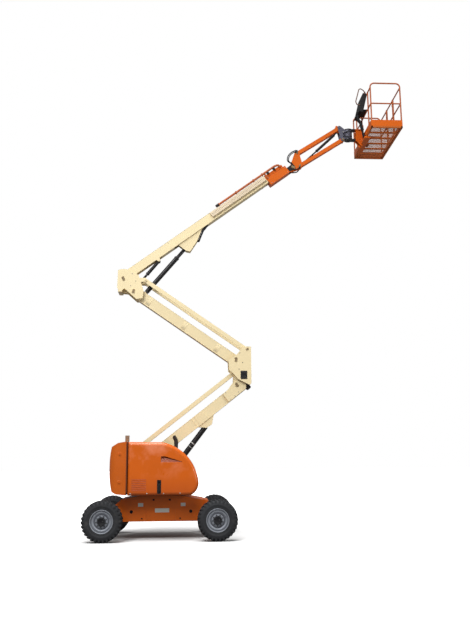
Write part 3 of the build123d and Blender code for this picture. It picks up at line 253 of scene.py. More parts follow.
# key, slot, colour, roughness, how far the colour varies, grime and its colour, grain and its scale
paint("orange", "orange_paint", ORANGE, 0.36, 0.07, 0.22, ORANGE_DIRT, 0.1, coat=0.15, wear=0.5, bare=ORANGE_BARE,
      low_dirt=0.22)
# the hood's colour carries painted highlights high up, painted shade low down and painted shade in its handle recess
paint("hood", "orange_moulding", ORANGE, 0.3, 0.06, 0.04, (0.24, 0.1, 0.04), 0.3, 7.0, coat=0.3, low_dirt=0.1,
      painted_light=(lin(244, 146, 106), lin(176, 76, 26), lin(150, 60, 14),
             (("X", wheel_mid - 0.004, wheel_mid + 0.444), ("Z", 1.562, 1.704))))
# a darker copy of the hood moulding, painted shade for the louvre slats
paint("hood_painted_shade", "orange_moulding", lin(160, 62, 22), 0.5, 0.08, 0.25, (0.1, 0.04, 0.02), 0.25, 60.0)
paint("seal", "black_paint", lin(104, 50, 24), 0.55, 0.12, 0.35, (0.04, 0.025, 0.018), 0.3)
paint("iron", "iron", lin(204, 96, 18), 0.38, 0.07, 0.18, (0.18, 0.09, 0.04), 0.45, 60.0, coat=0.15, low_dirt=0.1)
paint("cream", "cream_paint", lin(240, 222, 178), 0.38, 0.04, 0.12, (0.42, 0.36, 0.25), 0.06, coat=0.2, wear=0.15,
      bare=(0.4, 0.33, 0.22))
paint("black", "black_paint", (0.012, 0.011, 0.012), 0.4, 0.2, 0.35, (0.09, 0.08, 0.07), coat=0.05, wear=0.6,
      bare=(0.28, 0.27, 0.26))
paint("plastic", "black_plastic", (0.011, 0.011, 0.012), 0.55, 0.2, 0.3, (0.07, 0.065, 0.06), 0.5, 520.0)
paint("panel_grey", "black_plastic", (0.045, 0.044, 0.048), 0.45, 0.12, 0.3, (0.1, 0.09, 0.08), 0.4, 500.0)
paint("rubber", "rubber_black", (0.01, 0.01, 0.011), 0.6, 0.2, 0.35, (0.08, 0.075, 0.07), 0.4, 340.0)
paint("tyre", "tyre_rubber", (0.026, 0.027, 0.03), 0.72, 0.25, 0.55, (0.115, 0.105, 0.095), 0.7, 180.0)
# one rim paint in two copies: lighter on the lip rings as painted highlight, darker on the dish as painted shade
paint("rim", "rim_paint", (0.3, 0.32, 0.36), 0.42, 0.1, 0.45, (0.09, 0.085, 0.08), 0.2, metallic=0.25, wear=0.5)
paint("rim_dish_shaded", "rim_paint", (0.105, 0.112, 0.13), 0.46, 0.14, 0.5, (0.05, 0.047, 0.045), 0.25, metallic=0.25,
      wear=0.4)
paint("hub", "black_paint", (0.012, 0.012, 0.014), 0.42, 0.2, 0.45, (0.1, 0.09, 0.08), 0.4, 140.0, wear=0.5)
paint("dark_steel", "black_paint", (0.1, 0.1, 0.105), 0.42, 0.2, 0.5, (0.05, 0.045, 0.04), 0.3, 300.0, metallic=0.7)
paint("chrome", "chrome_rod", (0.035, 0.033, 0.035), 0.2, 0.06, 0.15, (0.1, 0.09, 0.08), 0.04, 600.0, metallic=0.85)
paint("alloy", "engine_alloy", (0.2, 0.205, 0.21), 0.5, 0.2, 0.6, (0.04, 0.035, 0.03), 0.6, 120.0, metallic=0.5)
paint("rust", "black_paint", (0.03, 0.026, 0.024), 0.6, 0.3, 0.5, (0.1, 0.05, 0.028), 0.5, 160.0, metallic=0.3)
paint("zinc", "rim_paint", (0.55, 0.55, 0.53), 0.42, 0.12, 0.4, (0.18, 0.16, 0.13), 0.2, metallic=0.55)
paint("pin_end", "black_paint", lin(142, 122, 92), 0.42, 0.15, 0.5, (0.14, 0.11, 0.07), 0.3, 400.0, metallic=0.15)
paint("carrier", "rim_paint", lin(226, 208, 180), 0.5, 0.1, 0.4, (0.25, 0.22, 0.18), 0.2)
paint("grey_tan", "black_paint", lin(140, 118, 96), 0.6, 0.15, 0.4, (0.1, 0.08, 0.06), 0.3)
paint("fly_paint", "orange_paint", ORANGE, 0.36, 0.07, 0.25, ORANGE_DIRT, 0.1, coat=0.15, wear=0.5, bare=ORANGE_BARE,
      band=(main_x, MAIN.translation.dot(main_x) + BAND_AT, (0.013, 0.012, 0.013)))
paint("support_paint", "orange_paint", ORANGE, 0.38, 0.08, 0.25, ORANGE_DIRT, 0.12, coat=0.1, wear=0.4,
      bare=ORANGE_BARE, band=((-1, 0, 0), -(joint_at("platform_rotation").x + 0.165), (0.02, 0.019, 0.024)))
paint("rail_paint", "orange_paint", lin(178, 92, 46), 0.4, 0.1, 0.3, (0.16, 0.09, 0.05), 0.12, coat=0.1, wear=0.5,
      bare=(0.2, 0.12, 0.08))
paint("guard_paint", "black_paint", lin(112, 78, 62), 0.42, 0.1, 0.3, (0.1, 0.07, 0.05), 0.12, coat=0.1, wear=0.5,
      bare=(0.28, 0.24, 0.2))
paint("frame_paint", "orange_paint", lin(186, 96, 36), 0.45, 0.1, 0.35, (0.12, 0.06, 0.03), wear=0.4,
      bare=(0.2, 0.12, 0.08))
paint("grating", "orange_paint", lin(196, 116, 66), 0.5, 0.12, 0.4, (0.07, 0.045, 0.03), 0.3, metallic=0.1)
paint("rotator", "black_paint", (0.125, 0.125, 0.165), 0.42, 0.15, 0.4, (0.05, 0.045, 0.04), 0.4, 90.0, metallic=0.2)
# near-black discs: painted shade standing in for the chassis holes
paint("painted_hole_shade", "black_paint", (0.006, 0.006, 0.006), 0.9, 0.2, 0.3, (0.012, 0.01, 0.009))
paint("plain_plate", "rim_paint", (0.62, 0.6, 0.55), 0.36, 0.05, 0.35, (0.25, 0.22, 0.18), metallic=0.2)
paint("lens", "orange_paint", (0.75, 0.2, 0.02), 0.18, 0.06, 0.2, (0.2, 0.07, 0.02), 0.5, 40.0, coat=0.6)
paint("stop_red", "orange_paint", (0.5, 0.018, 0.012), 0.3, 0.06, 0.2, (0.12, 0.02, 0.015), 0.1, coat=0.4)

node_finish = {
    "orange": ["chassis_frame", "jib_knuckle", "jib_lower_bar", "jib_upper_bar"],
    "fly_paint": ["fly_boom"],
    "support_paint": ["basket_support"],
    "rail_paint": ["basket_rails", "basket_gate", "carrier_tube"],
    "guard_paint": ["console_guard"],
    "frame_paint": ["basket_floor"],
    "rotator": ["jib_head"],
    "hood": ["right_hood", "left_hood"],
    "iron": ["counterweight"],
    "cream": ["lower_boom", "lower_link", "lower_upright", "mid_boom", "mid_link", "upper_upright", "main_boom"],
    "seal": ["hood_post"],
    "black": ["turntable", "compartment_walls", "drive_axle", "steer_axle", "left_knuckle",
              "right_knuckle", "tie_rod", "slewing_ring", "lower_lift_barrel",
              "main_lift_barrel", "level_barrel", "jib_barrel"],
    "chrome": ["lower_lift_rod", "main_lift_rod", "level_rod", "jib_rod"],
    "rubber": ["lower_boom_bumper", "boom_hoses", "knuckle_hoses", "head_hoses", "console_hoses"],
    "tyre": [wheel + "_tyre" for wheel in WHEELS],
    "rim_dish_shaded": [wheel + "_rim" for wheel in WHEELS],
    "alloy": ["engine_block"],
    "plastic": ["fluid_tanks", "control_console", "right_hood_latch", "left_hood_latch"],
    "rust": ["exhaust_pipe"],
    "carrier": ["cable_carrier"],
    "grey_tan": ["beacon"],
}
for key, names in node_finish.items():
    for node_name in names:
        mesh = nodes[node_name].data
        mesh.materials.clear()
        mesh.materials.append(M[key])


# ---- mesh kit
def rounded(points, bend, steps=7):
    """A path whose corners are rounded: each corner gives way to a short curve."""
    points = [Vector(p) for p in points]
    path = [points[0]]
    for i in range(1, len(points) - 1):
        corner = points[i]
        before, after = points[i - 1] - corner, points[i + 1] - corner
        reach = min(bend, before.length * 0.49, after.length * 0.49)
        start, end = corner + before.normalized() * reach, corner + after.normalized() * reach
        for s in range(steps + 1):
            t = s / steps
            path.append(start * (1 - t) ** 2 + corner * (2 * t * (1 - t)) + end * t ** 2)
    path.append(points[-1])
    return path


def spokes(axis, count):
    """Unit vectors square to an axis, evenly spaced about it."""
    side = axis.orthogonal().normalized()
    other = axis.cross(side)
    for i in range(count):
        a = 2 * math.pi * i / count
        yield side * math.cos(a) + other * math.sin(a)


class Kit:
    """Gathers the geometry of a piece in a frame, makes the piece and lets it ride on a body; it is then empty
    again, for the next piece in the same frame."""

    def __init__(self, frame_matrix=Matrix.Identity(4)):
        self.bm = bmesh.new()
        self.frame = frame_matrix

    def lathe(self, profile, at, axis, steps=40, closed=None):
        """Turns (radius, distance) points about an axis; closed, unless the profile starts or ends on the axis."""
        if closed is None:
            closed = profile[0][0] > 0 and profile[-1][0] > 0
        axis, at, count = Vector(axis).normalized(), Vector(at), len(profile)
        rings = [[self.bm.verts.new(at + axis * h + out * max(r, 1e-5)) for r, h in profile]
                 for out in spokes(axis, steps)]
        for a, b in zip(rings, rings[1:] + rings[:1]):
            for j in range(count if closed else count - 1):
                k = (j + 1) % count
                self.bm.faces.new((a[j], a[k], b[k], b[j]))
        return self

    def band(self, radius, rise, ease, width, at, axis, steps=36):
        """A ring proud of a round body: inner radius, rise, run of the eased edges and width."""
        return self.lathe([(radius, 0), (radius + rise, ease), (radius + rise, width - ease), (radius, width)],
                          at, axis, steps)

    def hull(self, points):
        verts = [self.bm.verts.new(Vector(p)) for p in points]
        made = bmesh.ops.convex_hull(self.bm, input=verts, use_existing_faces=False)
        loose = [v for v in made["geom_interior"] if isinstance(v, bmesh.types.BMVert)]
        if loose:
            bmesh.ops.delete(self.bm, geom=loose, context="VERTS")
        return self

    def block(self, at, size, chamfer=0.002, turn=0):
        """A box with chamfered edges, turned about Y."""
        spin = Matrix.Rotation(turn, 3, "Y")
        half = [s / 2 for s in size]
        return self.hull([Vector(at) + spin @ Vector([
            signs[i] * (half[i] - (0 if i == k else chamfer)) for i in range(3)])
            for signs in product((-1, 1), repeat=3) for k in range(3)])

    def plate(self, outline, face, back, chamfer=0.0015):
        """A flat plate: an (x, z) outline between two Y values, with its edges eased."""
        low, high = sorted((face, back))
        cx = sum(p[0] for p in outline) / len(outline)
        cz = sum(p[1] for p in outline) / len(outline)
        points = []
        for x, z in outline:
            reach = max(math.hypot(x - cx, z - cz), 1e-6)
            k = 1 - chamfer / reach
            points += [(x, low + chamfer, z), (x, high - chamfer, z)]
            points += [(cx + (x - cx) * k, y, cz + (z - cz) * k) for y in (low, high)]
        return self.hull(points)

    def panel(self, x, z, face, back, chamfer=0.0015):
        """A rectangular plate: its span in X, its span in Z and its two Y values."""
        return self.plate([(x[0], z[0]), (x[1], z[0]), (x[1], z[1]), (x[0], z[1])], face, back, chamfer)

    def bolt(self, at, axis, size=0.012, head=0.008):
        """A hexagon head on a washer."""
        self.lathe([(0, 0), (size * 1.02, 0), (size * 1.02, 0.0018), (0, 0.0018)], at, axis, 16)
        return self.lathe([(size * 0.86, 0), (size * 0.86, head * 0.82), (size * 0.72, head), (0, head)],
                          at, axis, 6)

    def side_bolts(self, half, places, size, head):
        """The same bolts at (x, z) places on the right and the left face, which stand at this half width."""
        for side, (x, z) in product((-1, 1), places):
            self.bolt((x, side * half, z), Y * side, size, head)
        return self

    def bolt_ring(self, count, radius, at, axis, size, head):
        axis = Vector(axis).normalized()
        for out in spokes(axis, count):
            self.bolt(Vector(at) + out * radius, axis, size, head)

    def pipe(self, points, radius, bend=0.04, steps=12):
        path = rounded(points, bend)
        tangents = [(b - a).normalized() for a, b in zip(path[:1] + path[:-1], path[1:] + path[-1:])]
        normal = tangents[0].orthogonal().normalized()
        rings = []
        for p, t in zip(path, tangents):
            normal = (normal - t * normal.dot(t)).normalized()
            cross = t.cross(normal)
            rings.append([self.bm.verts.new(p + (normal * math.cos(2 * math.pi * k / steps)
                                                 + cross * math.sin(2 * math.pi * k / steps)) * radius)
                          for k in range(steps)])
        for a, b in zip(rings, rings[1:]):
            for k in range(steps):
                self.bm.faces.new((a[k], a[(k + 1) % steps], b[(k + 1) % steps], b[k]))
        self.bm.faces.new(rings[0])
        self.bm.faces.new(list(reversed(rings[-1])))
        return self

    def seam(self, start, end, radius=0.004, pitch=0.012):
        """A weld bead: a row of overlapping ripples."""
        start, end = Vector(start), Vector(end)
        count = max(2, min(240, int((end - start).length / pitch)))
        points = []
        for i in range(count + 1):
            for f, r in ((0, 0.82), (0.5, 1.12)):
                h = (end - start).length * (i + f) / count
                if i < count or f == 0:
                    points.append((radius * r, h))
        return self.lathe([(0, 0)] + points + [(0, (end - start).length)], start, end - start, 8)

    def done(self, name, mat, body, smooth=35.0, replaces=()):
        bmesh.ops.recalc_face_normals(self.bm, faces=self.bm.faces)
        mesh = bpy.data.meshes.new(name)
        self.bm.to_mesh(mesh)
        self.bm.clear()
        mesh.transform(self.frame)
        mesh.materials.append(M[mat])
        for p in mesh.polygons:
            p.use_smooth = True
        mesh.set_sharp_from_angle(angle=math.radians(smooth))
        obj = add_object(name, mesh)
        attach(obj, body)
        if replaces:
            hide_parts(*replaces)


# ---- wheels
def build_wheel(name):
    body = name + "_wheel"
    out = -1.0 if name.endswith("right") else 1.0
    low, high, hub = box_of(name + "_tyre")
    radius = (high.z - low.z) / 2
    half = (high.y - low.y) / 2
    bore = 0.224
    kit = Kit()
    side_profile = [(bore, half - 0.03), (bore + 0.01, half - 0.016), (bore + 0.028, half - 0.011),
                    (bore + 0.034, half - 0.007), (bore + 0.04, half - 0.011), (radius - 0.115, half - 0.003),
                    (radius - 0.106, half - 0.0005), (radius - 0.097, half - 0.003), (radius - 0.07, half - 0.004),
                    (radius - 0.046, half - 0.014), (radius - 0.02, half - 0.036)]
    profile = side_profile + [(radius - 0.018, 0)] + [(r, -h) for r, h in reversed(side_profile)]
    kit.lathe(profile, hub, Y, 96)
    lugs = 30
    for i, way in product(range(lugs), (-1, 1)):
        start = 2 * math.pi * (i + (0.5 if way > 0 else 0)) / lugs
        points = []
        for a, h, r in ((0, half - 0.002, radius - 0.066), (0.006, half - 0.006, radius - 0.012),
                        (0.02, half - 0.034, radius), (0.07, half * 0.42, radius), (0.13, -0.012, radius),
                        (0.13, -0.012, radius - 0.024), (0.02, half - 0.04, radius - 0.026)):
            wide = (0.042 if h > half * 0.5 else 0.034) - (0.006 if r == radius else 0)
            for angle in (start + a - wide, start + a + wide):
                points.append(hub + Vector((math.cos(angle) * r, way * h, math.sin(angle) * r)))
        kit.hull(points)
    kit.done(name + "_tread", "tyre", body, 32, replaces=(name + "_tyre",))

    # lip rings in the lighter rim colour, a painted highlight
    trim = Kit()
    face = half - 0.062 + 0.007
    lip = [(bore - 0.01, half - 0.022), (bore - 0.002, half - 0.01), (bore + 0.006, half - 0.008),
           (bore + 0.011, half - 0.013), (bore + 0.006, half - 0.021)]
    for sign in (out, -out):
        trim.lathe([(r, sign * h) for r, h in lip], hub, Y, 72)
    trim.lathe([(r, out * (face + h)) for r, h in (
        (bore - 0.008, 0.001), (bore - 0.03, 0.016), (bore - 0.048, 0.018), (bore - 0.066, 0.004),
        (bore - 0.07, 0.0005))], hub, Y, 72, closed=False)
    trim.lathe([(r, out * (face + h)) for r, h in (
        (0.126, 0.0005), (0.124, 0.009), (0.092, 0.012), (0.088, 0.0005))], hub, Y, 60, closed=False)
    trim.done(name + "_rim_rings", "rim", body, 40)
    nose = face + 0.053
    Kit().lathe([(0.0815, out * face)] + [(r, out * (nose + h)) for r, h in (
        (0.0815, -0.008), (0.078, 0.0022), (0.06, 0.0035), (0.056, 0.0015), (0, 0.0015))],
        hub, Y, 48).done(name + "_hub_cap", "hub", body)
    bolts = Kit()
    bolts.bolt_ring(9, 0.108, hub + Y * (out * (face + 0.01)), Y * out, 0.0135, 0.015)
    bolts.bolt_ring(8, 0.068, hub + Y * (out * (nose + 0.003)), Y * out, 0.0062, 0.005)
    bolts.lathe([(0, 0), (0.014, 0), (0.012, 0.004), (0, 0.004)], hub + Vector((0.03, out * nose, 0.012)),
                Y * out, 6)
    bolts.pipe([hub + Vector((x, out * (face + y), z)) for x, y, z in (
        (0.15, 0.003, 0.062), (0.158, 0.022, 0.066), (0.176, 0.034, 0.074))], 0.0042, 0.01, 8)
    bolts.done(name + "_wheel_bolts", "dark_steel", body)


for wheel in WHEELS:
    build_wheel(wheel)


# ---- pins, their keepers and grease nipples
def keeper(point, y, radius, body, name, turn):
    """A pin's end on one side: chamfered face, centre drilling, keeper plate with two bolts, grease nipple."""
    out = math.copysign(1.0, y)
    kit = Kit(Matrix.Translation(point) @ Matrix.Rotation(turn, 4, "Y"))
    kit.lathe([(0, 0), (radius * 0.18, 0), (radius * 0.22, 0.003), (radius * 0.86, 0.0035),
               (radius * 0.99, 0), (radius * 0.99, -0.004)], (0, y, 0), Y * out, 32)
    reach = radius * 1.55
    bar_y = y - out * 0.006
    kit.plate([(-radius * 0.75, radius * 0.55), (radius * 0.75, radius * 0.55), (radius * 1.05, reach),
               (radius * 0.6, reach + radius * 0.55), (-radius * 0.6, reach + radius * 0.55),
               (-radius * 1.05, reach)], bar_y, bar_y + out * 0.007)
    for x in (-radius * 0.55, radius * 0.55):
        kit.bolt((x, bar_y + out * 0.0065, reach + radius * 0.1), Y * out, max(0.006, radius * 0.27), 0.006)
    kit.done(name, "pin_end", body)
    Kit(Matrix.Translation(point)).lathe(
        [(0.0042, 0), (0.0042, 0.004), (0.0024, 0.006), (0.0034, 0.009), (0.0022, 0.012), (0, 0.013)],
        (0, y, 0), Y * out, 12).done(name + "_nipple", "zinc", body)


BIG_PIN, SMALL_PIN = 0.032, 0.022
pin_rows = [
    # name, joint at the pin, half width over the pin, radius, body that carries it, turn of the keeper
    ("tower_foot_pin", "tower_lift", 0.126, BIG_PIN, "turret", 0.5),
    ("lower_link_pin", "lower_link_swing", 0.124, SMALL_PIN, "turret", -0.4),
    ("lower_boom_head_pin", "lower_upright_swing", 0.146, BIG_PIN, "lower_upright", 2.6),
    ("mid_boom_foot_pin", "mid_boom_swing", 0.215, BIG_PIN, "lower_upright", 0),
    ("mid_link_foot_pin", "mid_link_swing", 0.213, SMALL_PIN, "lower_upright", 0.9),
    ("upper_upright_pin", "upper_upright_swing", 0.215, BIG_PIN, "upper_upright", 3.4),
    ("main_boom_pin", "main_boom_lift", 0.215, BIG_PIN, "upper_upright", -0.5),
    ("knuckle_pin", "jib_levelling", box_of("jib_knuckle")[1].y, BIG_PIN, "jib_knuckle", 1.9),
    ("jib_foot_pin", "jib_lift", 0.092, SMALL_PIN, "jib_knuckle", 3.6),
    ("jib_upper_foot_pin", "jib_upper_bar_swing", 0.092, SMALL_PIN, "jib_knuckle", 0.2),
    ("jib_head_pin", "jib_head_swing", 0.092, SMALL_PIN, "jib_head", 2.2),
]
for (pin, joint, half, pin_r, body, turn), (side_name, side) in product(pin_rows, SIDES):
    keeper(joint_at(joint), side * half, pin_r, body, pin + "_" + side_name, turn)

# ---- chassis and running gear
WALL = 0.54  # half width over the chassis frame
# each chassis hole: a collar ring and, inside it, a dark disc as painted shade for the hole
collars, hole_shade_discs = Kit(BASE), Kit(BASE)
for side, (x, z, r) in product((-1, 1), ((0.62, 0.56, 0.034), (-0.62, 0.56, 0.034), (0.18, 0.8, 0.02),
                                         (-0.16, 0.8, 0.02), (0.4, 0.42, 0.016), (-0.4, 0.42, 0.016))):
    at, out = (x, side * WALL, z), Y * side
    collars.lathe([(r, 0.0008), (r * 1.22, 0.0008), (r * 1.28, 0.004), (r * 1.16, 0.0065), (r, 0.005)], at, out, 32)
    hole_shade_discs.lathe([(r, 0.0016), (r * 0.7, 0.001), (0, 0.001)], at, out, 32)
collars.done("chassis_hole_collars", "orange", "chassis")
hole_shade_discs.done("chassis_hole_shade_discs", "painted_hole_shade", "chassis")
kit = Kit(BASE)
for y in (-WALL - 0.0005, WALL + 0.0005):
    for x in (-0.86, 0.86):
        kit.seam((x, y, 0.4), (x, y, 0.8), 0.0035)
    kit.seam((-0.86, y, 0.374), (0.86, y, 0.374), 0.0035)
    for x in (-0.3, 0.3):
        kit.seam((x, y, 0.38), (x, y, 0.62), 0.003)
kit.done("chassis_weld_seams", "orange", "chassis", 60)
plates, bolts = Kit(BASE), Kit(BASE)
for side, (x, z, w, h) in product((-1, 1), ((0.02, 0.585, 0.3, 0.085), (-0.43, 0.7, 0.11, 0.075),
                                            (0.46, 0.7, 0.1, 0.07))):
    face = side * (WALL + 0.003)
    plates.panel((x - w / 2, x + w / 2), (z - h / 2, z + h / 2), side * (WALL + 0.0005), face, 0.001)
    for sx, sz in product((-1, 1), repeat=2):
        bolts.bolt((x + sx * (w / 2 - 0.012), face, z + sz * (h / 2 - 0.012)), Y * side, 0.004, 0.003)
for end, y, z in product((-1, 1), (-0.27, 0.27), (0.5, 0.6)):
    bolts.bolt((end * 1.065, y, z), X * end, 0.014, 0.012)
plates.done("chassis_blank_plates", "plain_plate", "chassis")
bolts.done("chassis_bolts", "zinc", "chassis")

low, high, mid = box_of("slewing_ring")
ring_r = (high.x - low.x) / 2
TEETH = 96
kit = Kit()
kit.lathe([(ring_r - 0.012, 0.006), (ring_r - 0.001, 0.006), (ring_r - 0.001, 0.02), (ring_r - 0.008, 0.024)],
          (mid.x, 0, low.z), Z, TEETH)
for i in range(TEETH):
    a = 2 * math.pi * i / TEETH
    out = Vector((math.cos(a), math.sin(a), 0))
    along = Vector((-math.sin(a), math.cos(a), 0))
    kit.hull([Vector((mid.x, 0, low.z + 0.026)) + out * r + along * (w * s) + Vector((0, 0, z)) for z, (r, w), s in
              product((0, 0.016), ((ring_r - 0.01, 0.0075), (ring_r - 0.0005, 0.0042)), (-1, 1))])
kit.done("slewing_ring_teeth", "dark_steel", "chassis")

for end, axle in (("front", "drive_axle"), ("rear", "steer_axle")):
    at = Vector((box_of(axle)[2].x, 0, joint_at(end + "_right_wheel_spin").z))
    kit = Kit()
    kit.lathe([(0, -0.135), (0.06, -0.132), (0.1, -0.105), (0.118, -0.06), (0.118, 0.06), (0.1, 0.105),
               (0.06, 0.132), (0, 0.135)], at, X)
    kit.band(0.122, 0.008, 0, 0.02, at - X * 0.01, X, 40)
    kit.bolt_ring(14, 0.124, at + X * 0.01, X, 0.007, 0.006)
    kit.done(end + "_axle_casing", "black", "chassis")

# ---- turret: hoods, counterweight, engine bay
SKIN = 0.95  # half width over the hoods
for side_name, side in SIDES:
    skin, out, body = side * SKIN, Y * side, side_name + "_hood"
    kit = Kit(BASE)
    kit.panel((-0.068, 0.004), (0.946, 1.21), skin - side * 0.0069, skin + side * 0.003, 0.003)
    kit.lathe([(0, 0.004), (0.016, 0.004), (0.019, 0.002), (0.019, -0.002)], (-0.032, skin, 1.17), out, 24)
    kit.block((-0.032, skin + side * 0.01, 1.06), (0.034, 0.02, 0.15), 0.007)
    kit.block((-0.032, skin + side * 0.004, 0.985), (0.04, 0.012, 0.03), 0.004)
    kit.done(side_name + "_latch_handle", "plastic", body)
    # louvre slats in the darker hood colour, as painted shade
    for z in (1.0 + row * 0.036 for row in range(7)):
        kit.hull([(x, skin + side * y, z + rise) for x in (-0.6, -0.3) for y, rise in
                  ((-0.003, 0), (0.004, 0.004), (-0.003, 0.022), (0.0025, 0.006))])
    kit.done(side_name + "_hood_louvres", "hood_painted_shade", body)
    for x in (-0.62, -0.28, 0.06, 0.4):
        kit.lathe([(0, 0.0045), (0.007, 0.0035), (0.01, 0.001), (0.01, -0.002)], (x, skin, 0.945), out, 16)
    kit.done(side_name + "_hood_fasteners", "zinc", body)

low, high, mid = box_of("counterweight")
bosses, bolts = Kit(), Kit()
for side, z in product((-1, 1), (low.z + 0.26, high.z - 0.26)):
    bosses.lathe([(0, -0.02), (0.024, -0.02), (0.028, 0.0015), (0.04, 0.0025), (0.046, 0)],
                 (mid.x + 0.045, side * high.y, z), Y * side, 28)
    bolts.bolt((mid.x + 0.045, side * (high.y + 0.001), z), Y * side, 0.019, 0.012)
bosses.done("counterweight_bolt_bosses", "iron", "turret")
bolts.done("counterweight_bolts", "iron", "turret")

low, high, mid = box_of("engine_block")
kit = Kit()
for i in range(4):
    kit.lathe([(0.048, 0), (0.048, 0.03), (0.036, 0.04), (0, 0.042)],
              (low.x + 0.16 + i * (high.x - low.x - 0.32) / 3, mid.y, high.z), Z, 24)
for i in range(9):
    kit.block((mid.x, low.y - 0.006, low.z + 0.1 + i * 0.05), (high.x - low.x - 0.08, 0.016, 0.018), 0.004)
kit.pipe([(low.x + 0.08, low.y - 0.02, high.z - 0.03), (mid.x, low.y - 0.055, high.z - 0.02),
          (high.x - 0.06, low.y - 0.02, high.z - 0.1)], 0.02, 0.08)
kit.done("engine_details", "alloy", "turret")
low, high, mid = box_of("fluid_tanks")
for x, r in ((low.x + 0.14, 0.045), (high.x - 0.16, 0.038)):
    kit.lathe([(r, 0), (r, 0.016), (r * 0.92, 0.03), (r * 0.5, 0.033), (0, 0.033)], (x, mid.y, high.z), Z, 18)
kit.block((mid.x, high.y + 0.002, mid.z), (0.03, 0.006, 0.26))
kit.done("tank_caps", "plastic", "turret")
PIPE_X, PIPE_Y = 0.297, -0.25  # the exhaust pipe's upright line
kit = Kit(BASE)
for z in (1.25, 1.7, 1.98):
    kit.band(0.0342, 0.0058, 0, 0.028, (PIPE_X, PIPE_Y, z - 0.014), Z, 28)
    kit.block((PIPE_X + 0.044, PIPE_Y, z), (0.014, 0.016, 0.024), 0.003)
kit.done("exhaust_clamps", "dark_steel", "turret")
kit.pipe([(PIPE_X, PIPE_Y, 1.72), (PIPE_X, PIPE_Y, 2.03), (PIPE_X - 0.046, PIPE_Y, 2.118)], 0.0425, 0.03, 28)
kit.done("exhaust_tail", "rust", "turret")
low, high, mid = box_of("beacon")
Kit().lathe([(0, 0), (0.036, 0), (0.036, 0.012), (0.03, 0.016), (0.029, 0.07), (0.022, 0.086), (0, 0.09)],
            (mid.x, mid.y, high.z - 0.105), Z, 28).done("beacon_lens", "lens", "turret")

TABLE_TOP = 0.9645  # the turntable's upper face
for side in (-1, 1):
    kit.seam((-0.62, side * 0.1165, TABLE_TOP + 0.002), (0.12, side * 0.1165, TABLE_TOP + 0.002), 0.005)
    for x, z in ((-0.3, 1.2), (-0.05, 1.05)):
        kit.lathe([(0.04, 0), (0.04, 0.003), (0.034, 0.0045), (0, 0.0045)], (x, side * 0.116, z), Y * side, 28)
kit.done("turret_plate_details", "black", "turret", 50)
for i in range(20):
    a = 2 * math.pi * (i + 0.5) / 20
    kit.bolt((0.405 * math.cos(a), 0.405 * math.sin(a), TABLE_TOP), Z, 0.014, 0.012)
kit.done("turret_ring_bolts", "zinc", "turret")
kit.lathe([(0.07, 0), (0.07, 0.01), (0.052, 0.014), (0.052, 0.15), (0.044, 0.156), (0, 0.158)],
          (0.43, -0.2, TABLE_TOP), Z, 32)
kit.block((0.43, -0.2, 1.085), (0.12, 0.06, 0.04), 0.006)
kit.done("slew_motor", "dark_steel", "turret")
for i, y in enumerate((-0.225, -0.205, 0.205, 0.225)):
    kit.pipe([(0.4, y, 1.0), (0.3, y, 1.06 + 0.02 * i), (0.05, y, 1.07 + 0.01 * i), (-0.3, y, 1.1),
              (-0.5, y * 0.9, 1.35), (-0.56, y * 0.72, 1.52)], 0.012, 0.12, 10)
kit.done("turret_hoses", "rubber", "turret")

# ---- booms: seams, doublers, wear pads
DEPTH_LOW, DEPTH_HIGH = -0.218, 0.018  # the lower boom's underside and top
kit = Kit(LOWER)
for y in (-0.0905, 0.0905):
    for z in (DEPTH_HIGH - 0.002, DEPTH_LOW + 0.002):
        kit.seam((-0.08, y, z), (2.42, y, z), 0.0035, 0.02)
    for x in (1.545, 1.62, 1.85):
        kit.seam((x, y * 1.03, DEPTH_LOW + 0.004), (x, y * 1.03, DEPTH_HIGH - 0.016), 0.0035, 0.014)
kit.done("lower_boom_seams", "cream", "lower_boom", 60)
kit.side_bolts(0.134, ((2.5, -0.18), (2.62, -0.18), (2.74, -0.17), (2.5, 0)), 0.009, 0.008)
kit.side_bolts(0.09, ((0.35, -0.05), (0.95, -0.05)), 0.007, 0.006)
kit.done("lower_boom_bolts", "zinc", "lower_boom")
for z, end_z in ((-0.06, -0.1), (-0.078, -0.12)):
    kit.pipe([(0.62, 0.098, z), (1.3, 0.098, z), (2.3, 0.098, z), (2.42, 0.112, end_z)], 0.007, 0.05, 8)
kit.done("lower_boom_lines", "cream", "lower_boom")
for x in (0.7, 1.05, 1.45, 2.05):
    kit.block((x, 0.098, -0.069), (0.026, 0.018, 0.05), 0.003)
kit.done("lower_boom_line_clips", "zinc", "lower_boom")

BOX_HALF = 0.0985  # half width over the mid and main booms
DOUBLERS = (0.42, 1.4, 2.3)  # along the mid boom
kit = Kit(MID)
for side in (-1, 1):
    y = side * BOX_HALF
    kit.seam((0.02, y, -0.116), (2.78, y, -0.116), 0.0035, 0.02)
    kit.seam((0.02, y, 0.116), (2.7, y, 0.116), 0.003, 0.02)
    for x in DOUBLERS:
        kit.panel((x - 0.05, x + 0.05), (-0.09, 0.09), y, y + side * 0.003, 0.001)
kit.done("mid_boom_seams", "cream", "mid_boom", 50)
kit.side_bolts(BOX_HALF + 0.003, product(DOUBLERS, (-0.06, 0.06)), 0.007, 0.006)
kit.done("mid_boom_bolts", "zinc", "mid_boom")

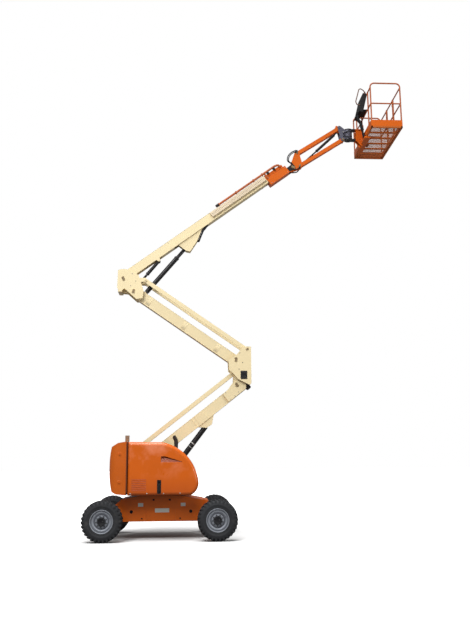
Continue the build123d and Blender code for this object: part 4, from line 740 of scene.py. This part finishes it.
MAIN_END = 4.137  # the main boom's mouth
MAIN_LOW, MAIN_HIGH = -0.033, 0.163
kit = Kit(MAIN)
for y in (-BOX_HALF, BOX_HALF):
    for start, z in ((0.1, MAIN_HIGH), (1.06, MAIN_LOW)):
        kit.seam((start, y, z), (MAIN_END - 0.02, y, z), 0.003, 0.024)
kit.done("main_boom_seams", "cream", "main_boom", 60)
for x in (MAIN_END - 0.16, MAIN_END - 0.018):
    for side in (-1, 1):
        kit.panel((x - 0.01, x + 0.01), (MAIN_LOW, MAIN_HIGH), side * 0.098, side * 0.1035)
    for z in (MAIN_HIGH + 0.0045, MAIN_LOW - 0.0045):
        kit.block((x, 0, z), (0.02, 0.2, 0.006), 0.0015)
kit.done("main_boom_mouth_bands", "cream", "main_boom")
kit.side_bolts(0.098, product((MAIN_END - 0.06, MAIN_END - 0.11), (0.02, 0.11)), 0.009, 0.007)
kit.side_bolts(0.098, ((1.1, 0.13), (1.22, 0.13), (1.34, 0.13)), 0.007, 0.006)
for y, x in product((-0.05, 0.05), (MAIN_END - 0.05, MAIN_END - 0.12)):
    kit.bolt((x, y, MAIN_HIGH + 0.002), Z, 0.009, 0.007)
kit.done("main_boom_pad_bolts", "zinc", "main_boom")

CARRIER_FACE = -0.148  # the cable carrier's outer face
CARRIER_START, CARRIER_END, LINKS = 2.545, 4.112, 40
for i in range(LINKS):
    x = CARRIER_START + (CARRIER_END - CARRIER_START) * (i + 0.5) / LINKS
    kit.panel((x - 0.0165, x + 0.0165), (0.034, 0.146), CARRIER_FACE - 0.002, CARRIER_FACE + 0.001, 0.0008)
    for z in (0.058, 0.122):
        kit.lathe([(0, 0), (0.007, 0), (0.008, 0.001), (0.008, 0.003)], (x, CARRIER_FACE - 0.004, z), Y, 12)
kit.done("cable_carrier_links", "carrier", "main_boom")

NOSE_HALF = 0.106  # half width over the fly boom's nose
kit.side_bolts(NOSE_HALF, product((4.2, 4.68), (-0.09, 0.04)), 0.008, 0.007)
kit.done("fly_nose_bolts", "zinc", "fly_boom")
for y in (-NOSE_HALF - 0.0005, NOSE_HALF + 0.0005):
    kit.seam((4.155, y, 0.066), (4.7, y, 0.066), 0.003)
    kit.seam((4.155, y, -0.122), (4.7, y, -0.122), 0.003)
    kit.seam((4.152, y, -0.12), (4.152, y, 0.065), 0.0035)
kit.done("fly_nose_seams", "orange", "fly_boom", 60)
TUBE_Y, TUBE_Z = -0.118, 0.199  # the carrier tube's line along the fly boom
for x in (2.84, 3.35, 3.86, 4.12):
    kit.block((x, TUBE_Y, TUBE_Z), (0.03, 0.06, 0.062), 0.004)
kit.done("carrier_tube_brackets", "rail_paint", "fly_boom")
kit.pipe([(4.155, TUBE_Y, TUBE_Z), (4.5, TUBE_Y, TUBE_Z), (4.58, -0.108, 0.178), (4.6, -0.1, 0.12)], 0.026, 0.05, 16)
kit.done("carrier_tube_nose", "rail_paint", "fly_boom")
kit.band(0.0275, 0.0055, 0.003, 0.088, (2.756, TUBE_Y, TUBE_Z), X, 20)
for x in (4.26, 4.44):
    kit.block((x, -0.112, 0.176), (0.06, 0.04, 0.09), 0.005)
    kit.bolt((x, -0.132, 0.15), -Y, 0.008, 0.007)
kit.done("carrier_tube_clamps", "black", "fly_boom")

kit = Kit()
for upright in ("lower_upright", "upper_upright"):
    low, high, mid = box_of(upright)
    kit.side_bolts(0.205, [(low.x + (high.x - low.x) * along, low.z + (high.z - low.z) * rise) for along, rise in
                           ((0.5, 0.84), (0.62, 0.6), (0.46, 0.44))], 0.01, 0.008)
    kit.done(upright + "_bolts", "dark_steel", upright)


# ---- cylinders: glands, ports, rod sleeves
def along_span(node, foot, along):
    """Where a node's mesh starts and ends along a cylinder, measured from the foot pin."""
    reach = [(v.co - foot).dot(along) for v in nodes[node].data.vertices]
    return min(reach), max(reach)


cylinder_rows = [
    # name, radius of the barrel, radius of the eye, sleeve on the rod or None, rod pinned at the foot
    ("lower_lift", 0.058, 0.052, None, True), ("main_lift", 0.052, 0.046, 0.039, False),
    ("level", 0.038, 0.036, 0.026, True),
]
for name, barrel_r, eye_r, sleeve_r, rod_first in cylinder_rows:
    foot = joint_at(name + "_cylinder_swing")
    along = Vector(joints[name + "_cylinder_stroke"]["axis"]).normalized()
    frame_cyl = tilted(foot, along)
    start, end = along_span(name + "_barrel", foot, along)
    gland = start if rod_first else end
    way = 1.0 if rod_first else -1.0
    kit = Kit(frame_cyl)
    kit.band(barrel_r + 0.004, 0.003, 0.002, 0.016, (gland + way * 0.01, 0, 0), X * way)
    kit.band(barrel_r, 0.0035, 0.003, 0.012, (gland + way * 0.075, 0, 0), X * way)
    for port in (0.1, (end - start) - 0.14):
        x = gland + way * port
        kit.lathe([(0.013, -0.006), (0.013, 0.008), (0.01, 0.01), (0, 0.01)], (x, barrel_r - 0.002, 0), Y, 20)
        kit.lathe([(0.008, 0), (0.008, 0.008), (0, 0.008)], (x, barrel_r + 0.007, 0), Y, 6)
    kit.done(name + "_cylinder_fittings", "black", name + "_barrel")
    if name == "lower_lift":
        for back, width in ((0.6, 0.022), (0.69, 0.012)):
            kit.band(barrel_r, 0.003, 0.002, width, (end - back, 0, 0), X)
        kit.done("lower_lift_bands", "zinc", "lower_lift_barrel")
    if sleeve_r:
        rod_start, rod_end = along_span(name + "_rod", foot, along)
        low_x, high_x = ((rod_start + 2 * eye_r + 0.004, rod_end - 0.05) if rod_first
                         else (rod_start + 0.05, rod_end - 2 * eye_r - 0.004))
        kit.lathe([(0, low_x), (sleeve_r * 0.9, low_x), (sleeve_r, low_x + 0.006), (sleeve_r, high_x - 0.006),
                   (sleeve_r * 0.9, high_x), (0, high_x)], (0, 0, 0), X)
        kit.done(name + "_rod_sleeve", "chrome", name + "_rod")

# the jib's cylinder hangs from the upper bar: a thick barrel above, its rod down to the knuckle
foot = joint_at("jib_cylinder_swing")
along = Vector(joints["jib_cylinder_stroke"]["axis"]).normalized()
frame_cyl = tilted(foot, along)
EYE_R = 0.032
eye_x = along_span("jib_rod", foot, along)[1] - EYE_R
barrel_low = eye_x - 0.745


def cylinder_eye(kit, x, bore):
    kit.lathe([(bore, -0.014), (EYE_R - 0.002, -0.014), (EYE_R, -0.012), (EYE_R, 0.012), (EYE_R - 0.002, 0.014),
               (bore, 0.014)], (x, 0, 0), Y)


kit = Kit(frame_cyl)
cylinder_eye(kit, eye_x, 0)
kit.lathe([(0, -0.018), (0.015, -0.018), (0.016, -0.017), (0.016, 0.017), (0.015, 0.018), (0, 0.018)],
          (eye_x, 0, 0), Y, 32)
kit.lathe([(0, barrel_low), (0.03, barrel_low), (0.0345, barrel_low + 0.005), (0.0345, barrel_low + 0.045),
           (0.0325, barrel_low + 0.049), (0.0325, eye_x - 0.135), (0.027, eye_x - 0.118), (0.014, eye_x - 0.114),
           (0.014, eye_x - 0.02), (0, eye_x - 0.02)], (0, 0, 0), X, 44)
kit.done("jib_cylinder_barrel", "black", "jib_rod", replaces=("jib_rod",))
cylinder_eye(kit, 0, 0.023)
kit.lathe([(0, 0.026), (0.014, 0.026), (0.014, 0.046), (0.019, 0.05), (0.019, 0.745), (0.017, 0.75), (0, 0.75)],
          (0, 0, 0), X)
kit.done("jib_cylinder_rod", "chrome", "jib_barrel", replaces=("jib_barrel",))

# ---- hoses held along the arms
kit = Kit(MAIN)
for i, y in enumerate((-0.066, -0.03, 0.006, 0.042)):
    kit.pipe([(2.345 - 0.02 * i, y, -0.04), (2.315 - 0.02 * i, y, -0.058), (2.205, y, -0.064), (2.1, y, -0.128),
              (2.005, y, -0.19), (1.955, y, -0.224), (1.93, y * 0.6, -0.205)], 0.0155, 0.045, 12)
for x, z in ((2.16, -0.085), (2.03, -0.168)):
    kit.block((x, -0.012, z), (0.03, 0.15, 0.03), 0.004, -0.57)
kit.done("gusset_hoses", "rubber", "main_boom", replaces=("boom_hoses",))
kit = Kit(Matrix.Translation(joint_at("jib_levelling")))
for out in (0, 0.03):
    kit.pipe([(x - out * back, -0.101, z + out * rise) for x, back, z, rise in (
        (-0.02, 0.4, 0.085, 0), (-0.098, 1.0, 0.15, 0), (-0.078, 1.0, 0.265, 0.4),
        (-0.005, 0.5, 0.345, 1.0), (0.075, 0, 0.388, 1.0), (0.135, 0, 0.395, 1.0))], 0.0115, 0.08)
kit.block((-0.012, -0.094, 0.09), (0.07, 0.02, 0.03), 0.004, 0.9)
kit.block((0.085, -0.094, 0.402), (0.026, 0.02, 0.07), 0.004, 0.1)
for y in (-0.099, 0.099):
    kit.pipe([(-0.015, y, -0.045), (0.015, y, -0.068), (0.09, y, -0.062), (0.15, y, -0.04), (0.172, y, 0)],
             0.0135, 0.03)
    for x, z in ((0, -0.045), (0.17, 0)):
        kit.block((x, y * 0.96, z), (0.036, 0.016, 0.036), 0.004)
kit.done("knuckle_hose_run", "rubber", "jib_knuckle", replaces=("knuckle_hoses",))

# ---- tower fittings
kit = Kit(Matrix.Translation(joint_at("lower_upright_swing")))
for side in (-1, 1):
    kit.block((0.166, side * 0.195, 0.195), (0.1485, 0.026, 0.1885), 0.004)
    kit.block((0.166, side * 0.209, 0.235), (0.1, 0.006, 0.06), 0.002)
    kit.block((0.166, side * 0.209, 0.15), (0.07, 0.006, 0.05), 0.002)
kit.done("upright_valve_covers", "hub", "lower_upright")
kit = Kit(LOWER)
kit.block((2.982, 0, -0.176), (0.104, 0.167, 0.17), 0.018)
for z in (-0.235, -0.195, -0.155, -0.115):
    kit.block((3.036, 0, z), (0.01, 0.15, 0.014), 0.004)
kit.done("boom_tip_buffer", "plastic", "lower_boom", replaces=("lower_boom_bumper",))

# ---- jib and platform rotator
for name, frame_jib in (("jib_lower_bar", JIB), ("jib_upper_bar", JIB_TOP)):
    kit = Kit(frame_jib)
    for side in (-1, 1):
        for z in (-0.041, 0.041):
            kit.seam((0.03, side * 0.0643, z), (1.23, side * 0.0643, z), 0.0018)
        for x in (0, 1.26):
            kit.band(0.023, 0.013, 0, 0.0025, (x, side * 0.0642, 0), Y * side)
    kit.done(name + "_seams", "orange", name, 60)
swivel = joint_at("platform_rotation")
ROTOR_R, ROTOR_HEIGHT = 0.095, 0.23
base_z = joint_at("jib_head_swing").z + 0.018
kit = Kit()
for z in (0.012, 0.198):
    kit.band(ROTOR_R - 0.002, 0.007, 0.002, 0.02, (swivel.x, 0, base_z + z), Z, 48)
for i in range(4):
    kit.band(ROTOR_R - 0.001, 0.0035, 0.004, 0.014, (swivel.x, 0, base_z + 0.06 + i * 0.035), Z, 48)
kit.done("rotator_bands", "rotator", "jib_head")
for z, way in ((base_z - 0.0223, -1), (base_z + ROTOR_HEIGHT + 0.0223, 1)):
    kit.bolt_ring(8, 0.075, (swivel.x, 0, z), Z * way, 0.008, 0.007)
kit.lathe([(0, 0), (0.03, 0), (0.03, 0.014), (0.02, 0.02), (0, 0.02)],
          (swivel.x, 0, base_z + ROTOR_HEIGHT + 0.0223), Z, 6)
kit.done("rotator_bolts", "zinc", "basket")

# ---- basket
f_low, f_high, f_mid = box_of("basket_floor")
f_size = f_high - f_low
deck = f_high.z - 0.003
for x in (f_low.x + 0.02, f_high.x - 0.02):
    kit.block((x, f_mid.y, f_mid.z), (0.04, f_size.y, f_size.z), 0.003)
for y in (f_low.y + 0.02, f_high.y - 0.02):
    kit.block((f_mid.x, y, f_mid.z), (f_size.x, 0.04, f_size.z), 0.003)
for i in range(1, 6):
    kit.block((f_mid.x, f_low.y + i * f_size.y / 6, f_low.z + 0.016), (f_size.x - 0.06, 0.03, 0.03), 0.003)
kit.done("floor_frame", "frame_paint", "basket", replaces=("basket_floor",))
INSET, BARS, CROSS = 0.045, 22, 34  # the grating's inset, and its bars along and across
inner_x, inner_y = f_size.x - 2 * INSET, f_size.y - 2 * INSET
for i in range(BARS + 1):
    kit.block((f_low.x + INSET + inner_x * i / BARS, f_mid.y, f_high.z - 0.01), (0.0065, inner_y, 0.02), 0.0008)
for i in range(CROSS + 1):
    kit.block((f_mid.x, f_low.y + INSET + inner_y * i / CROSS, f_high.z - 0.006), (inner_x, 0.005, 0.008), 0.0006)
kit.done("floor_grating", "grating", "basket")
BOARD, BOARD_IN = 0.152, 0.0022  # the toe boards' height, and how far in their middles stand
board_z = deck + BOARD / 2
for y in (f_low.y + BOARD_IN, f_high.y - BOARD_IN):
    kit.block((f_mid.x, y, board_z), (f_size.x - 0.006, 0.004, BOARD), 0.0015)
kit.block((f_low.x + BOARD_IN, f_mid.y, board_z), (0.004, f_size.y - 0.006, BOARD), 0.0015)
for y_low, y_high in ((f_low.y + 0.003, -0.3), (0.3, f_high.y - 0.003)):
    kit.block((f_high.x - BOARD_IN, (y_low + y_high) / 2, board_z), (0.004, y_high - y_low, BOARD), 0.0015)
kit.done("toe_boards", "orange", "basket")
rows = (deck + 0.035, deck + 0.12)
kit.side_bolts(f_high.y, product((f_low.x + 0.1, f_mid.x, f_high.x - 0.1), rows), 0.006, 0.004)
for y, z in product((-0.55, -0.2, 0.2, 0.55), rows):
    kit.bolt((f_low.x, y, z), -X, 0.006, 0.004)
kit.done("toe_board_bolts", "frame_paint", "basket")

CONSOLE_TOP = 0.24
kit = Kit(Matrix.Translation((f_low.x - 0.084, -0.31, deck + 0.76)) @ Matrix.Rotation(math.radians(14.0), 4, "Y"))
kit.block((0.052, 0, 0), (0.006, 0.5, 0.44), 0.003)
kit.block((0, 0, CONSOLE_TOP - 0.003), (0.104, 0.522, 0.006), 0.003)
kit.done("console_panel", "panel_grey", "basket")
for y in (-0.14, 0.02):
    kit.lathe([(0.026, 0), (0.03, 0.002), (0.024, 0.012), (0.02, 0.014), (0.022, 0.02), (0.016, 0.028),
               (0.009, 0.034), (0.0065, 0.06), (0.0085, 0.07), (0.0165, 0.082), (0.018, 0.1), (0.013, 0.114),
               (0, 0.118)], (0, y, CONSOLE_TOP), Z, 28)
for i in range(6):
    kit.lathe([(0.01, 0), (0.01, 0.005), (0.0035, 0.006), (0.003, 0.02), (0, 0.022)],
              (-0.028 if i % 2 else 0.028, 0.06 + 0.03 * i, CONSOLE_TOP), Z, 14)
for y in (-0.2, -0.08, 0.08, 0.2):
    kit.lathe([(0.014, 0), (0.014, 0.01), (0.01, 0.013), (0, 0.013)], (-0.051, y, -0.175), -X, 20)
kit.done("console_controls", "plastic", "basket")
kit.lathe([(0.017, 0), (0.017, 0.006), (0.013, 0.01), (0.019, 0.014), (0.019, 0.02), (0.014, 0.024), (0, 0.025)],
          (0, -0.215, CONSOLE_TOP), Z, 28)
kit.done("console_stop_button", "stop_red", "basket")
for y, z in product((-0.24, 0.24), (-0.21, 0.21)):
    kit.bolt((-0.05, y, z), -X, 0.006, 0.004)
kit.done("console_screws", "zinc", "basket")

low, high, mid = box_of("basket_gate")
kit = Kit()
for z in (low.z + 0.2, high.z - 0.2):
    kit.lathe([(0, -0.03), (0.009, -0.028), (0.009, 0.028), (0, 0.03)], (high.x - 0.006, low.y + 0.012, z), Z, 16)
kit.block((high.x - 0.004, high.y - 0.03, mid.z), (0.016, 0.05, 0.07), 0.005)
kit.done("gate_hardware", "dark_steel", "basket_gate")
for y in (f_low.y + 0.28, f_high.y - 0.28):
    kit.pipe([(f_low.x + x, y + dy, deck + 0.3) for x, dy in
              ((0.034, -0.03), (0.07, -0.03), (0.07, 0.03), (0.034, 0.03))], 0.005, 0.02, 10)
kit.block((f_low.x + 0.13, 0.22, deck + 0.03), (0.16, 0.11, 0.045), 0.008)
kit.done("harness_points_and_foot_switch", "dark_steel", "basket")
low, high, mid = box_of("basket_support")
for z, y in product((low.z + 0.14, high.z - 0.1), (-0.16, 0.16)):
    kit.bolt((f_low.x - 0.0145, y, z), -X, 0.01, 0.008)
kit.done("support_bolts", "zinc", "basket")
kit = Kit(Matrix.Translation((swivel.x, 0, swivel.z)))
for y in (-0.066, 0.066):
    kit.plate([(0.175, 0.235), (0.335, 0.235), (0.335, -0.15), (0.285, -0.15), (0.175, -0.012)],
              y - 0.005, y + 0.005, 0.002)
kit.done("support_gussets", "orange", "basket")
for y in (-0.357, -0.304):
    kit.pipe([(0.181, y, 0.545), (0.181, y, 0.38), (0.252, y, 0.3), (0.252, y, 0.2), (0.29, y, 0.11)],
             0.027, 0.05, 14)
kit.done("console_hose_wraps", "rubber", "basket")
